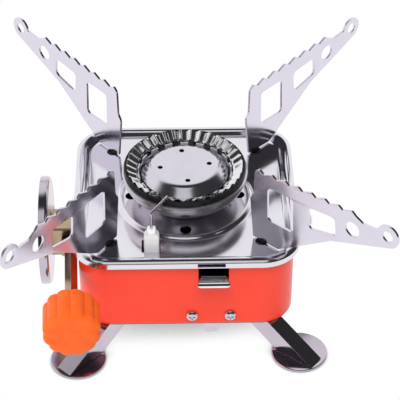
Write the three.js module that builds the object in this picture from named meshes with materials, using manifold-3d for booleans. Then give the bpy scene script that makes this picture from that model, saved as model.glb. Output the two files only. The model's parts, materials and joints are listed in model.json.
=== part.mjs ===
// A folding camping gas stove. A square pressed body stands on four folding legs. A pressed tray on
// top of it carries the burner and four toothed pot arms that swing out, and the valve with its knob
// and the collar for the gas cartridge sit at the left side.
// Millimetres, +Z up. The origin is the centre of the body's flat underside, on the burner's axis.
// +X is the stove's right side and -Y its front.
import * as THREE from "three";
import { mergeVertices, toCreasedNormals } from "three/addons/utils/BufferGeometryUtils.js";
import Module from "manifold-3d";

const wasm = await Module();
wasm.setup();

// Clearances and fineness
const gap = 0.3; // between pieces that seat on or run in each other
const overrun = 2; // how far a cutting shape runs past the face that it opens
const weld = 0.0001; // points closer than this are one point
const creaseDegrees = 35;
const cornerSteps = 5;
const edgeSteps = 3;
const roundSides = 32;
const tubeSides = 18;
const smallSides = 12;
const boreSides = 10;
const bendShare = 0.45; // of either side, the most that a rounded corner may take

// Body: a pan of painted sheet
const bodyHalf = 40.7;
const bodyCorner = 12.4;
const bodyHeight = 32.9;
const bodySheet = 0.8;
const bodyEdge = 3; // rounding between the walls and the bottom
const stiffenerRadius = 12; // of the ring pressed up into the bottom
const stiffenerWidth = 2.4;
const stiffenerRise = 0.5;
const stiffenerSides = 19;

// Tray: its rolled bead sits over the body's upper edge
const traySheet = 0.8;
const beadRadius = 2.2;
const beadLead = 0.1; // how far the bead's middle lies outside the body's wall
const beadEndDegrees = 30;
const underFilletDegrees = 200;
const skirtDrop = 1; // below the bead's middle
const rimSlope = 0.3; // between the bead and the fillet down to the floor
const trayFillet = 1.2;
const bossRadius = 26.3;
const bossDraft = 1.2;
const bossRise = 0.9;
const airHoleRadius = 2.2;
const airHoleReach = 21.6;
const airHoleCount = 4;
const skirtSlotLength = 10.4;
const skirtSlotHeight = 1.6;

// Burner: a bowl on the mixing tube, with a slotted port ring, a cap, a pleated crown and a band
const tubeRadius = 6.3;
const tubeSheet = 0.8;
const tubeRise = 6.1; // above the bowl's floor
const tubeFlangeRadius = 9;
const airWindowWidth = 4;
const airWindowHeight = 5.5;
const airWindowRise = 4.2; // above the tube's lower end
const bowlSheet = 0.8;
const bowlRadius = 24.2;
const bowlHeight = 10.5;
const bowlShares = [[0.665, 0], [0.806, 0.238], [0.921, 0.505], [0.983, 0.771], [1, 1]];
const bandInset = 0.2; // inside the bowl's lip
const bandLean = 0.5; // inwards, at its top
const bandHeight = 2.7;
const bandSheet = 0.8;
const portSheet = 0.6;
const portMouth = 7;
const portHeight = 3.7;
const portSlotCount = 18;
const portSlotWidth = 3.2;
const portSlotDepth = 2;
const crownPleats = 36;
const crownWidth = 3.8;
const crownDip = 2.4; // how far the crown falls towards the middle
const crownWave = 0.45;
const crownSheet = 0.6;
const crownRise = 0.2; // of the crown's outer edge above the band
const capInset = 1.6; // inside the port ring
const capSlant = 3.7; // from its edge to its flat top
const capSheet = 0.8;
const capHeight = 3.1;
const capLift = 2.3; // of its top above the port ring
const capRounding = 1.5;
const capHoleRadius = 1;
const capHoleReachShare = 0.73; // of the flat top's radius
const capHoleCount = 4;
const capHoleDegrees = 6.5;
const capTabCount = 3;
const capTabWidth = 3;
const capTabDegrees = 60;
const burnerNutFlats = 17;
const burnerNutHeight = 3.5;

// Gas feed under the burner
const jetBlockSide = 9;
const jetBlockHeight = 8;
const jetBlockLift = 8.5; // above the body's bottom sheet
const spigotHeight = 2.2;
const jetFlats = 6;
const jetHeight = 3.5;
const jetTipRadius = 1.8;
const jetTipEnd = 1.2;
const jetTipHeight = 1.5;
const jetNoseRadius = 1.5;
const jetNoseLength = 3.2;
const pipeRadius = 2;
const pipeSides = 8;
const pipeSteps = 16;
const pipeSocketDepth = 3;
const pipeLead = 4; // straight stretch outside each socket
const pipeBow = 12;

// Pot arms: flat plates on pins in the tray, with u outwards and v upwards from the tray's floor.
// Their shares are of the length and height, with v from the lower edge.
const armPivotInset = 14.4; // from the tray's edge
const armLength = 60;
const armHeight = 37.4;
const armSheet = 1;
const armLift = 0.7; // of the lower edge above the floor
const armTeeth = 8;
const armToothDepth = 1.5;
const armToothRounding = 0.6;
const armWindowRounding = 2;
const armHookRadius = 4.6;
const armHookStartDegrees = -70;
const armHookEndDegrees = 170;
const armHookSteps = 7;
const armHookHoleRadius = 2.2;
const armSlotHoleRadius = 3.1;
const armHookShares = [0.932, 0.866];
const armSlotHoleShares = [0.683, 0.735];
const armLowerShares = [[0.133, 0], [0.2, 0.072], [0.533, 0.463]];
const armNeckShares = [[0.842, 0.882], [0.753, 0.866], [0.7, 0.906]];
const armFirstToothShares = [0.667, 0.947];
const armLastToothShares = [-0.035, 0.864];
const armRootShares = [[-0.067, 0.816], [-0.072, 0.54], [-0.098, 0.471], [-0.067, 0]];
const armValleyShares = [0.57, 0.67]; // of the pitch, inwards from each tooth
const armInnerWindowShares = [[0.038, 0.701], [0.238, 0.717], [0.248, 0.307], [0.045, 0.299]];
const armOuterWindowShares = [[0.352, 0.722], [0.553, 0.759], [0.568, 0.553], [0.365, 0.471]];
const stemWidth = 3;
const stemLength = 2.8; // below the tray's floor
const pinRadius = 2.2;
const pinFlangeRadius = 4;
const pinFlangeHeight = 1;
const pinTail = 1.5; // below its flange
const armPlaces = [
  { name: "rear_left", x: -1, y: 1, degrees: 132.1 },
  { name: "rear_right", x: 1, y: 1, degrees: 43.8 },
  { name: "front_right", x: 1, y: -1, degrees: -42.8 },
  { name: "front_left", x: -1, y: -1, degrees: -124.9 },
];

// Legs: angle-section strips riveted to the body's bottom, each on a round foot
const standHeight = 14.4;
const legInsetX = 18.9; // from the body's side to the rivet
const legInsetY = 15.8; // from the body's front or back to the rivet
const legWidth = 6.8;
const legSheet = 1;
const legBend = 13; // from the rivet to the bend
const legSlopeDegrees = 28.9;
const legFlangeDepth = 9.4;
const legFlangeStart = 5;
const legFlangeSlant = 1.5;
const footRadius = 10.7;
const footSheet = 1;
const footReach = 27.1;
const footShift = 1.6; // away from the leg's flange
const footSides = 24;
const footEdge = 0.3;
const rivetRadius = 1.5;
const rivetHeadRadius = 3;
const rivetHeadHeight = 1.4;
const rivetTailRadius = 2.6;
const rivetTailHeight = 1.2;
const rivetRounding = 0.6;
const legPlaces = [
  { name: "rear_left", x: -1, y: 1, degrees: 139.5 },
  { name: "rear_right", x: 1, y: 1, degrees: 40.5 },
  { name: "front_right", x: 1, y: -1, degrees: -39.8 },
  { name: "front_left", x: -1, y: -1, degrees: -134.5 },
];

// Valve: its block stands square, and the spindle in it leans a little to the right at its front
const valveStandOff = 3.8; // from the body's left wall to the block's axis
const valveY = -10.1;
const valveDrop = 10.3; // below the body's upper edge
const valveSide = 13.2;
const valveOuter = 7.2; // from its axis to the collar's side
const valveInner = 8.5; // from its axis to the burner's side
const spindleLeanDegrees = 2.8;
const valveChamfer = 0.6;
const spindleRadius = 1.6;
const spindleInset = 5.6; // how deep the spindle's round end lies in the block
const spindleFlats = 4.7;
const spindleReach = 53;
const packingNutFlats = 7.2;
const packingNutLength = 4.65;
const packingNoseRadius = 2.6;
const packingNoseLength = 2;
const spindleSealWidth = 1.2;
const knobRadius = 10.7;
const knobLength = 14.4;
const knobLobes = 12;
const knobLobeDepth = 0.9;
const knobLobeSteps = 5;
const knobBackRounding = 0.8;
const knobFrontRounding = 2.4;
const knobSocketDepth = 8.3;

// Collar and nozzle for the gas cartridge
const collarRadius = 21;
const collarSheet = 0.9;
const collarDepth = 4.8;
const collarShift = 1.3; // of the collar and nozzle, behind the block's axis
const collarRounding = 1.6;
const collarLugCount = 3;
const collarLugDegrees = 27;
const collarLugWidth = 7;
const collarLugReach = 2.2;
const nozzleRadius = 3;
const nozzleSeatRadius = 5;
const nozzleSeatHeight = 1.35;
const nozzleTipRadius = 2.2;
const nozzleTipLength = 1.85;
const nozzleTipRounding = 0.5;
const nozzleDepth = 2.9; // into the block
const washerRadius = 4.6;
const washerHeight = 1.25;

// Igniter behind the front wall
const igniterX = 9.35;
const igniterHalf = 4.5;
const igniterDepth = 7;
const igniterDrop = 0.8; // of its top below the pressed lever
const igniterRounding = 0.8;
const leverShift = 0.85;
const leverHalf = 5;
const leverLipHalf = 6;
const leverSheet = 1;
const leverDrop = 7.8; // below the body's upper edge
const leverTravel = 4.5;
const leverOut = 3.6; // in front of the wall
const leverIn = 7.7; // behind the wall's face
const leverLipDrop = 1.5;
const leverLipLean = 1;
const leverLipRoot = 0.6;
const leverRibs = 4;
const leverRibHeight = 0.35;
const leverRibInset = 0.5;
const windowSide = 0.7; // clear of the lever at each side
const windowDrop = 1.6; // of its top below the body's upper edge
const plungerHalf = 3;
const plungerDepth = 4;
const plungerLength = 9.5;
const bracketHalf = 10;
const bracketSheet = 0.8;
const bracketDrop = 0.5; // of its top below the igniter's
const bracketRounding = 2;
const cheekDepth = 6.6;
const cheekBottom = 4;
const cheekTop = 14;
const tongueHalf = 2.95;
const tongueDrop = 3.8; // below the body
const screwSpread = 7.3;
const screwZ = 5.9;
const screwRadius = 1.3;
const screwLength = 3.5;
const screwHeadRadius = 2.15;
const screwHeadHeight = 1.2;
const screwHeadRounding = 0.8;
const screwCrossWidth = 0.5;
const screwCrossHalf = 1.3;
const screwCrossDepth = 0.6;

// Electrode in front of the burner
const insulatorX = -12.8;
const insulatorInset = 8.8; // from the tray's front edge
const insulatorHalf = 2.9;
const insulatorDepth = 4.6;
const insulatorHeight = 18.5;
const insulatorRise = 12.3; // above the tray's floor
const insulatorHeadHalf = 1.65;
const insulatorHeadHeight = 5.8;
const insulatorShoulder = 1.4;
const insulatorRounding = 1;
const insulatorSlotSide = 0.9;
const insulatorSlotBack = 2.3;
const wireRadius = 0.5;
const wireBend = 1.6;
const wireSeat = 2; // how deep it sits in the insulator
const wireSides = 6;
const wireSteps = 13;
const sparkGap = 2.2; // above the band
const wireTipDegrees = 16.6; // left of the burner's front
const leadRadius = 1;
const leadSides = 8;
const leadSteps = 15;
const leadEntryDrop = 2; // below the igniter's top
// The ignition lead's route inside the body, between its ends at the electrode and the igniter
const leadRoute = [
  [-12.8, -31.9, 21.3],
  [-9.5, -33, 15.8],
  [-4, -34.4, 14.5],
  [0.5, -35, 17.5],
];

// Levels and places that follow from the sizes above
const beadInner = beadRadius - traySheet;
const trayHalf = bodyHalf + beadLead + beadRadius;
const trayCorner = bodyCorner + beadLead + beadRadius;
const beadZ = bodyHeight + bodySheet - beadInner;
const filletZ = beadZ + beadRadius * Math.sin(radians(beadEndDegrees));
const floorTop = filletZ - trayFillet;
const floorUnder = floorTop - traySheet;
const bossTop = floorTop + bossRise;
const bossUnder = bossTop - traySheet;
const bowlBottom = bossTop + gap;
const bowlTop = bowlBottom + bowlHeight;
const bandBottom = bowlTop + gap;
const bandTop = bandBottom + bandHeight;
const bandRadius = bowlRadius - bandInset;
const bandTopRadius = bandRadius - bandLean;
const crownRadius = bandTopRadius - bandSheet - gap;
const crownInner = crownRadius - crownWidth;
const portRadius = crownInner - gap;
const capRadius = portRadius - capInset;
const capFlatRadius = capRadius - capSlant;
const jetBlockTop = bodySheet + jetBlockLift + jetBlockHeight;
const tubeTop = bowlBottom + bowlSheet + tubeRise;
const tubeBottom = jetBlockTop + gap;
const portBottom = tubeTop + gap;
const portTop = portBottom + portHeight;
const capTop = portTop + capLift;
const pipeZ = jetBlockTop - jetBlockHeight / 2;
const jetBottom = jetBlockTop + spigotHeight + gap;
const armPivot = trayHalf - armPivotInset;
const frontY = -bodyHalf;
const innerFrontY = frontY + bodySheet;
const bracketBackY = innerFrontY + gap + bracketSheet;
const igniterFrontY = bracketBackY + gap;
const igniterY = igniterFrontY + igniterDepth / 2;
const leverZ = bodyHeight - leverDrop;
const windowTop = bodyHeight - windowDrop;
const igniterTop = leverZ - leverTravel - igniterDrop;
const igniterBottom = bodySheet + 2 * gap;
const bracketTop = igniterTop - bracketDrop;
const leverX = igniterX + leverShift;
const plungerTop = leverZ - gap;
const insulatorFrontY = -(trayHalf - insulatorInset);
const insulatorY = insulatorFrontY + insulatorDepth / 2;
const insulatorTop = floorTop + insulatorRise;
const insulatorBottom = insulatorTop - insulatorHeight;
const leadStart = [insulatorX, insulatorY, insulatorBottom - gap];
const leadEnd = [igniterX - igniterHalf - gap, igniterY, igniterTop - leadEntryDrop];
const legPivotX = bodyHalf - legInsetX;
const legPivotY = bodyHalf - legInsetY;
const legTop = -gap;
const legEndZ = -(standHeight - footSheet - gap);
const valveX = -(bodyHalf + valveStandOff);
const valveZ = bodyHeight - valveDrop;
const spindleLean = radians(spindleLeanDegrees);
const collarBack = -(valveOuter + gap);
const nozzleSeatBack = collarBack - collarSheet - gap;
const nozzleSeatFace = nozzleSeatBack - nozzleSeatHeight;
const packingNutTilt = hexRadius(packingNutFlats) * Math.sin(spindleLean);
const packingNutBack = -(valveSide / 2 + gap + packingNutTilt);
const packingNutFront = packingNutBack - packingNutLength;
const spindleHexStart = packingNutFront - gap;
const knobBack = -(spindleReach - knobSocketDepth + gap);

function finish(color, roughness, metalness) {
  return new THREE.MeshStandardMaterial({ color, roughness, metalness });
}

const redPaint = finish(0xe8452f, 0.25, 0.1);
const stainless = finish(0xc9c8d2, 0.18, 1);
const heatedSteel = finish(0x2b2a2d, 0.5, 0.6);
const darkSteel = finish(0x3a3a40, 0.4, 0.9);
const brass = finish(0xc8a25c, 0.3, 1);
const chrome = finish(0xdcdce2, 0.1, 1);
const zinc = finish(0xb4b8bd, 0.35, 1);
const rubber = finish(0x202022, 0.8, 0);
const orangePlastic = finish(0xff7434, 0.5, 0);
const blackPlastic = finish(0x1c1c20, 0.5, 0);
const ceramic = finish(0xf2efe9, 0.3, 0);
const leadSleeve = finish(0xd8d4cc, 0.5, 0);

function radians(degrees) {
  return THREE.MathUtils.degToRad(degrees);
}

// The radius of a hexagon's corners from its width across flats.
function hexRadius(flats) {
  return flats / Math.sqrt(3);
}

// A closed geometry as a solid that can be joined and cut.
function solidOf(shape) {
  if (shape instanceof wasm.Manifold) return shape;
  const bare = new THREE.BufferGeometry();
  bare.setAttribute("position", shape.getAttribute("position"));
  bare.setIndex(shape.index);
  const merged = mergeVertices(bare, weld);
  const points = merged.getAttribute("position");
  const corners = merged.index.array;
  const faces = [];
  let volume = 0;
  for (let i = 0; i < corners.length; i += 3) {
    const face = [corners[i], corners[i + 1], corners[i + 2]];
    if (new Set(face).size < 3) continue;
    const [a, b, c] = face.map((corner) => new THREE.Vector3().fromBufferAttribute(points, corner));
    volume += a.dot(b.cross(c));
    faces.push(face);
  }
  const outward = volume > 0 ? faces : faces.map(([a, b, c]) => [a, c, b]);
  const mesh = new wasm.Mesh({
    numProp: 3,
    vertProperties: new Float32Array(points.array),
    triVerts: new Uint32Array(outward.flat()),
  });
  return new wasm.Manifold(mesh);
}

function geometryOf(solid) {
  const mesh = solid.getMesh();
  const geometry = new THREE.BufferGeometry();
  geometry.setAttribute("position", new THREE.BufferAttribute(mesh.vertProperties, 3));
  geometry.setIndex(new THREE.BufferAttribute(mesh.triVerts, 1));
  return toCreasedNormals(geometry, radians(creaseDegrees));
}

function joined(first, ...others) {
  return others.reduce((sum, shape) => sum.add(solidOf(shape)), solidOf(first));
}

function cut(base, ...tools) {
  return tools.reduce((rest, tool) => rest.subtract(solidOf(tool)), solidOf(base));
}

function place(name, shape, material, holder) {
  const mesh = new THREE.Mesh(geometryOf(solidOf(shape)), material);
  mesh.name = name;
  holder.add(mesh);
}

// Turns a shape built along +Y to stand along the named axis.
function aim(geometry, axis) {
  if (axis === "x") geometry.rotateZ(-Math.PI / 2);
  if (axis === "z") geometry.rotateX(Math.PI / 2);
  return geometry;
}

function rod(axis, radius, from, to, sides) {
  const geometry = new THREE.CylinderGeometry(radius, radius, to - from, sides);
  geometry.translate(0, (from + to) / 2, 0);
  return aim(geometry, axis);
}

// A body of revolution from points of radius and height, about the named axis. A profile that
// doesn't start on the axis is closed on itself.
function turned(axis, profile, sides) {
  const [first] = profile;
  const outline = first[0] > 0 ? [...profile, first] : profile;
  return aim(new THREE.LatheGeometry(outline.map(([r, h]) => new THREE.Vector2(r, h)), sides), axis);
}

function box(low, high) {
  const size = high.map((value, axis) => value - low[axis]);
  const middle = high.map((value, axis) => (value + low[axis]) / 2);
  return new THREE.BoxGeometry(...size).translate(...middle);
}

// A plate along Z with an outline and holes given as lists of points.
function prism(outline, thickness, holes = []) {
  const toPoints = (list) => list.map(([x, y]) => new THREE.Vector2(x, y));
  const shape = new THREE.Shape(toPoints(outline));
  shape.holes = holes.map((hole) => new THREE.Path(toPoints(hole)));
  return new THREE.ExtrudeGeometry(shape, { depth: thickness, bevelEnabled: false });
}

// Stands a plate up, so that its outline lies in X and Z, centred on its thickness.
function upright(geometry, thickness) {
  return geometry.translate(0, 0, -thickness / 2).rotateX(Math.PI / 2);
}

// Stands a plate up, so that its outline lies in Y and Z, centred on its thickness.
function sideways(geometry, thickness) {
  return upright(geometry, thickness).rotateZ(Math.PI / 2);
}

function arc([x, y], radius, from, to, steps) {
  const points = [];
  for (let step = 0; step <= steps; step += 1) {
    const angle = radians(from + ((to - from) * step) / steps);
    points.push([x + radius * Math.cos(angle), y + radius * Math.sin(angle)]);
  }
  return points;
}

function circle(centre, radius, sides) {
  return arc(centre, radius, 0, 360, sides).slice(0, sides);
}

// Rounds the corner between two neighbours, by less than half of either side.
function bend(before, corner, after, radius, steps) {
  const [start, end] = [before, after].map((point) => {
    const side = Math.hypot(point[0] - corner[0], point[1] - corner[1]);
    const share = Math.min(radius / side, bendShare);
    return corner.map((value, axis) => value + (point[axis] - value) * share);
  });
  const points = [];
  for (let step = 0; step <= steps; step += 1) {
    const t = step / steps;
    const weights = [(1 - t) * (1 - t), 2 * t * (1 - t), t * t];
    points.push([0, 1].map((axis) => (
      weights[0] * start[axis] + weights[1] * corner[axis] + weights[2] * end[axis]
    )));
  }
  return points;
}

// Rounds the inner corners of an open line of points.
function roundedLine(line, radius, steps) {
  const inner = line.slice(1, -1);
  const bends = inner.flatMap((corner, i) => bend(line[i], corner, line[i + 2], radius, steps));
  return [line[0], ...bends, line[line.length - 1]];
}

function roundedOutline(corners, radius, steps) {
  const last = corners.length - 1;
  const line = [corners[last], ...corners, corners[0]];
  return roundedLine(line, radius, steps).slice(1, -1);
}

// The outline of a bent sheet: an open line of points and its copy at the sheet's thickness to the
// left of its direction, or to the right where the thickness is negative.
function sheetOutline(line, thickness) {
  const across = line.slice(1).map((point, i) => {
    const [dx, dy] = [point[0] - line[i][0], point[1] - line[i][1]];
    const length = Math.hypot(dx, dy);
    return [-dy / length, dx / length];
  });
  const copy = line.map((point, i) => {
    const before = across[Math.max(i - 1, 0)];
    const after = across[Math.min(i, across.length - 1)];
    const sum = [before[0] + after[0], before[1] + after[1]];
    const reach = (2 * thickness) / (sum[0] * sum[0] + sum[1] * sum[1]);
    return [point[0] + sum[0] * reach, point[1] + sum[1] * reach];
  });
  return [...line, ...copy.reverse()];
}

function roundedSquare(half, corner, z) {
  const centre = half - corner;
  const quarters = [[1, 1], [-1, 1], [-1, -1], [1, -1]];
  return quarters.flatMap(([x, y], quarter) => {
    const start = quarter * 90;
    const points = arc([x * centre, y * centre], corner, start, start + 90, cornerSteps);
    return points.map((point) => [...point, z]);
  });
}

// A body through rings of points. An open one is closed by fans at its first and last ring.
function loft(rings, closed = false) {
  const count = rings[0].length;
  const points = rings.flat();
  const faces = [];
  const spans = closed ? rings.length : rings.length - 1;
  for (let ring = 0; ring < spans; ring += 1) {
    const next = (ring + 1) % rings.length;
    for (let i = 0; i < count; i += 1) {
      const j = (i + 1) % count;
      const [a, b] = [ring * count + i, ring * count + j];
      const [c, d] = [next * count + j, next * count + i];
      faces.push(a, b, c, a, c, d);
    }
  }
  const capped = closed ? [] : [0, rings.length - 1];
  for (const ring of capped) {
    const middle = [0, 1, 2].map((axis) => (
      rings[ring].reduce((sum, point) => sum + point[axis], 0) / count
    ));
    const hub = points.push(middle) - 1;
    for (let i = 0; i < count; i += 1) {
      const [a, b] = [ring * count + i, ring * count + ((i + 1) % count)];
      faces.push(hub, ...(ring === 0 ? [b, a] : [a, b]));
    }
  }
  const geometry = new THREE.BufferGeometry();
  geometry.setAttribute("position", new THREE.Float32BufferAttribute(points.flat(), 3));
  geometry.setIndex(faces);
  return geometry;
}

// A round bar along a path in space.
function bar(path, radius, sides, steps) {
  const outline = circle([0, 0], radius, sides).map(([x, y]) => new THREE.Vector2(x, y));
  const options = { steps, extrudePath: path, bevelEnabled: false };
  return new THREE.ExtrudeGeometry(new THREE.Shape(outline), options);
}

// Shapes set at equal angles about Z.
function around(count, startDegrees, make) {
  return Array.from({ length: count }, (_, i) => (
    make().rotateZ(radians(startDegrees + (360 * i) / count))
  ));
}

function screwPlaces() {
  return [-1, 1].map((side) => igniterX + side * screwSpread);
}

// A shallow round bead that is pressed up into the bottom, above the given level.
function stiffener(base, level) {
  const half = stiffenerWidth / 2;
  return turned("z", [
    [stiffenerRadius - half, base],
    [stiffenerRadius + half, base],
    [stiffenerRadius + half, level],
    [stiffenerRadius + half / 2, level + stiffenerRise],
    [stiffenerRadius - half / 2, level + stiffenerRise],
    [stiffenerRadius - half, level],
  ], stiffenerSides);
}

function bodyShell() {
  const centre = [bodyEdge, bodyEdge];
  const profile = [
    ...arc(centre, bodyEdge, 270, 180, edgeSteps),
    [0, bodyHeight],
    [bodySheet, bodyHeight],
    ...arc(centre, bodyEdge - bodySheet, 180, 270, edgeSteps),
  ];
  const pan = loft(profile.map(([inset, z]) => (
    roundedSquare(bodyHalf - inset, bodyCorner - inset, z)
  )));
  const windowHalf = leverHalf + windowSide;
  const leverWindow = box(
    [leverX - windowHalf, frontY - overrun, leverZ - leverTravel - gap],
    [leverX + windowHalf, innerFrontY + overrun, windowTop],
  );
  const valveHalf = valveSide / 2 + gap;
  const valveFront = valveY + packingNutFront - 2 * gap;
  const valveWindow = box(
    [-bodyHalf - overrun, valveFront, valveZ - valveHalf],
    [-bodyHalf + bodySheet + overrun, valveY + valveHalf + gap, valveZ + valveHalf],
  );
  const tongueSlot = box(
    [igniterX - tongueHalf - gap, innerFrontY, -overrun],
    [igniterX + tongueHalf + gap, igniterFrontY, bodyEdge],
  );
  const rivetHoles = legPlaces.map(({ x, y }) => (
    rod("z", rivetRadius + gap, -overrun, bodySheet + overrun, boreSides)
      .translate(x * legPivotX, y * legPivotY, 0)
  ));
  const screwHoles = screwPlaces().map((x) => (
    rod("y", screwRadius + gap, frontY - overrun, innerFrontY + overrun, boreSides)
      .translate(x, 0, screwZ)
  ));
  const pressed = cut(joined(pan, stiffener(bodySheet / 2, bodySheet)), stiffener(-overrun, 0));
  return cut(pressed, leverWindow, valveWindow, tongueSlot, ...rivetHoles, ...screwHoles);
}

function tray() {
  const beadEnd = beadRadius * Math.cos(radians(beadEndDegrees));
  const fillet = [beadRadius + beadEnd + rimSlope + trayFillet, filletZ];
  const bead = [beadRadius, beadZ];
  const profile = [
    ...arc(fillet, trayFillet + traySheet, 270, underFilletDegrees, edgeSteps),
    ...arc(bead, beadInner, beadEndDegrees, 180, edgeSteps),
    [traySheet, beadZ - skirtDrop],
    [0, beadZ - skirtDrop],
    ...arc(bead, beadRadius, 180, beadEndDegrees, 2 * edgeSteps),
    ...arc(fillet, trayFillet, 180, 270, edgeSteps),
  ];
  const sheet = loft(profile.map(([inset, z]) => (
    roundedSquare(trayHalf - inset, trayCorner - inset, z)
  )));
  const boss = turned("z", [
    [0, floorTop - traySheet / 2],
    [bossRadius, floorTop - traySheet / 2],
    [bossRadius, floorTop],
    [bossRadius - bossDraft, bossTop],
    [0, bossTop],
  ], roundSides);
  const recess = turned("z", [
    [0, floorUnder - overrun],
    [bossRadius - traySheet, floorUnder - overrun],
    [bossRadius - traySheet, floorUnder],
    [bossRadius - traySheet - bossDraft, bossUnder],
    [0, bossUnder],
  ], roundSides);
  const tubeHole = rod("z", tubeRadius + gap, floorUnder, bossTop + overrun, tubeSides);
  const airHoles = around(airHoleCount, 0, () => (
    rod("z", airHoleRadius, floorUnder, bossTop + overrun, smallSides).translate(airHoleReach, 0, 0)
  ));
  const pinHoles = armPlaces.map(({ x, y }) => (
    rod("z", pinRadius + gap, floorUnder - overrun, floorTop + overrun, smallSides)
      .translate(x * armPivot, y * armPivot, 0)
  ));
  const insulatorSlot = box(
    [insulatorX - insulatorHalf - insulatorSlotSide, insulatorFrontY - gap, floorUnder - overrun],
    [
      insulatorX + insulatorHalf + gap,
      insulatorFrontY + insulatorDepth + insulatorSlotBack,
      bossTop + overrun,
    ],
  );
  const skirtSlot = box(
    [igniterX - skirtSlotLength / 2, -trayHalf - overrun, beadZ - skirtDrop / 2],
    [
      igniterX + skirtSlotLength / 2,
      -trayHalf + traySheet + beadInner / 2,
      beadZ - skirtDrop / 2 + skirtSlotHeight,
    ],
  );
  return cut(joined(sheet, boss), recess, tubeHole, ...airHoles, ...pinHoles, insulatorSlot, skirtSlot);
}

function burnerBowl() {
  const outer = bowlShares.map(([r, h]) => [r * bowlRadius, bowlBottom + h * bowlHeight]);
  const outline = sheetOutline([[tubeRadius + gap, bowlBottom], ...outer], bowlSheet);
  return turned("z", outline, roundSides);
}

function burnerBand() {
  const line = [[bandRadius, bandBottom], [bandTopRadius, bandTop]];
  return turned("z", sheetOutline(line, bandSheet), roundSides);
}

// The pleats rise and fall along the ring, and lie lower towards the burner's middle.
function burnerCrown() {
  const outerZ = bandTop + crownRise;
  const count = crownPleats * 4;
  const ring = (radius, z) => Array.from({ length: count }, (_, i) => {
    const angle = (2 * Math.PI * i) / count;
    const wave = (crownWave * radius * Math.sin((Math.PI * i) / 2)) / crownRadius;
    return [radius * Math.cos(angle), radius * Math.sin(angle), z + wave];
  });
  return loft([
    ring(crownInner, outerZ - crownDip),
    ring(crownRadius, outerZ),
    ring(crownRadius, outerZ - crownSheet),
    ring(crownInner, outerZ - crownDip - crownSheet),
  ], true);
}

function portRing() {
  const line = [[portMouth, portBottom], [portRadius, portBottom], [portRadius, portTop]];
  const cup = turned("z", sheetOutline(line, portSheet), roundSides);
  const slots = around(portSlotCount, 0, () => box(
    [portRadius - overrun, -portSlotWidth / 2, portTop - portSlotDepth],
    [portRadius + overrun, portSlotWidth / 2, portTop + overrun],
  ));
  return cut(cup, ...slots);
}

function burnerCap() {
  const corners = [[0, capTop], [capFlatRadius, capTop], [capRadius, capTop - capHeight]];
  const line = roundedLine(corners, capRounding, 2);
  const shell = turned("z", sheetOutline(line, -capSheet), roundSides);
  const tabs = around(capTabCount, capTabDegrees, () => box(
    [capRadius - 2 * capSheet, -capTabWidth / 2, portBottom + portSheet + gap],
    [capRadius - capSheet / 2, capTabWidth / 2, capTop - capHeight + capSheet],
  ));
  const holes = around(capHoleCount, capHoleDegrees, () => (
    rod("z", capHoleRadius, capTop - capSheet - overrun, capTop + overrun, boreSides)
      .translate(capHoleReachShare * capFlatRadius, 0, 0)
  ));
  return cut(joined(shell, ...tabs), ...holes);
}

function mixingTube() {
  const inner = tubeRadius - tubeSheet;
  const tube = turned("z", [
    [inner, tubeBottom],
    [tubeRadius, tubeBottom],
    [tubeRadius, tubeTop - tubeSheet],
    [tubeFlangeRadius, tubeTop - tubeSheet],
    [tubeFlangeRadius, tubeTop],
    [inner, tubeTop],
  ], tubeSides);
  const reach = tubeRadius + overrun;
  const low = tubeBottom + airWindowRise;
  const windows = around(4, 0, () => box(
    [0, -airWindowWidth / 2, low],
    [reach, airWindowWidth / 2, low + airWindowHeight],
  ));
  return cut(tube, ...windows);
}

function burnerNut() {
  const top = bossUnder - gap;
  const hex = rod("z", hexRadius(burnerNutFlats), top - burnerNutHeight, top, 6);
  const bore = rod("z", tubeRadius + gap, top - burnerNutHeight - overrun, top + overrun, tubeSides);
  return cut(hex, bore);
}

function jetBlock() {
  const half = jetBlockSide / 2;
  const block = box([-half, -half, jetBlockTop - jetBlockHeight], [half, half, jetBlockTop]);
  const spigotRadius = tubeRadius - tubeSheet - gap;
  const spigotTop = jetBlockTop + spigotHeight;
  const spigot = rod("z", spigotRadius, jetBlockTop - overrun, spigotTop, tubeSides);
  const noseEnd = jetBottom - jetNoseLength - gap;
  const noseBore = rod("z", jetNoseRadius + gap, noseEnd, spigotTop + overrun, boreSides);
  const socket = rod("x", pipeRadius + gap, -half - overrun, -half + pipeSocketDepth, boreSides);
  return cut(joined(block, spigot), noseBore, socket.translate(0, 0, pipeZ));
}

function jet() {
  const top = jetBottom + jetHeight;
  const core = turned("z", [
    [0, jetBottom - jetNoseLength],
    [jetNoseRadius, jetBottom - jetNoseLength],
    [jetNoseRadius, jetBottom + jetHeight / 2],
    [jetTipRadius, top],
    [jetTipEnd, top + jetTipHeight],
    [0, top + jetTipHeight],
  ], boreSides);
  return joined(rod("z", hexRadius(jetFlats), jetBottom, top, 6), core);
}

// The pipe leaves the valve block's inner side and enters the jet block, inside the body.
function gasPipe() {
  const fromValve = (reach) => new THREE.Vector3(valveX + reach, valveY, valveZ);
  const toJet = (reach) => new THREE.Vector3(-jetBlockSide / 2 - reach, 0, pipeZ);
  const seat = gap - pipeSocketDepth;
  const path = new THREE.CurvePath();
  path.add(new THREE.LineCurve3(fromValve(valveInner + seat), fromValve(valveInner + pipeLead)));
  path.add(new THREE.CubicBezierCurve3(
    fromValve(valveInner + pipeLead),
    fromValve(valveInner + pipeLead + pipeBow),
    toJet(pipeLead + pipeBow),
    toJet(pipeLead),
  ));
  path.add(new THREE.LineCurve3(toJet(pipeLead), toJet(seat)));
  return bar(path, pipeRadius, pipeSides, pipeSteps);
}

function armPoint([u, v]) {
  return [u * armLength, armLift + v * armHeight];
}

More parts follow.
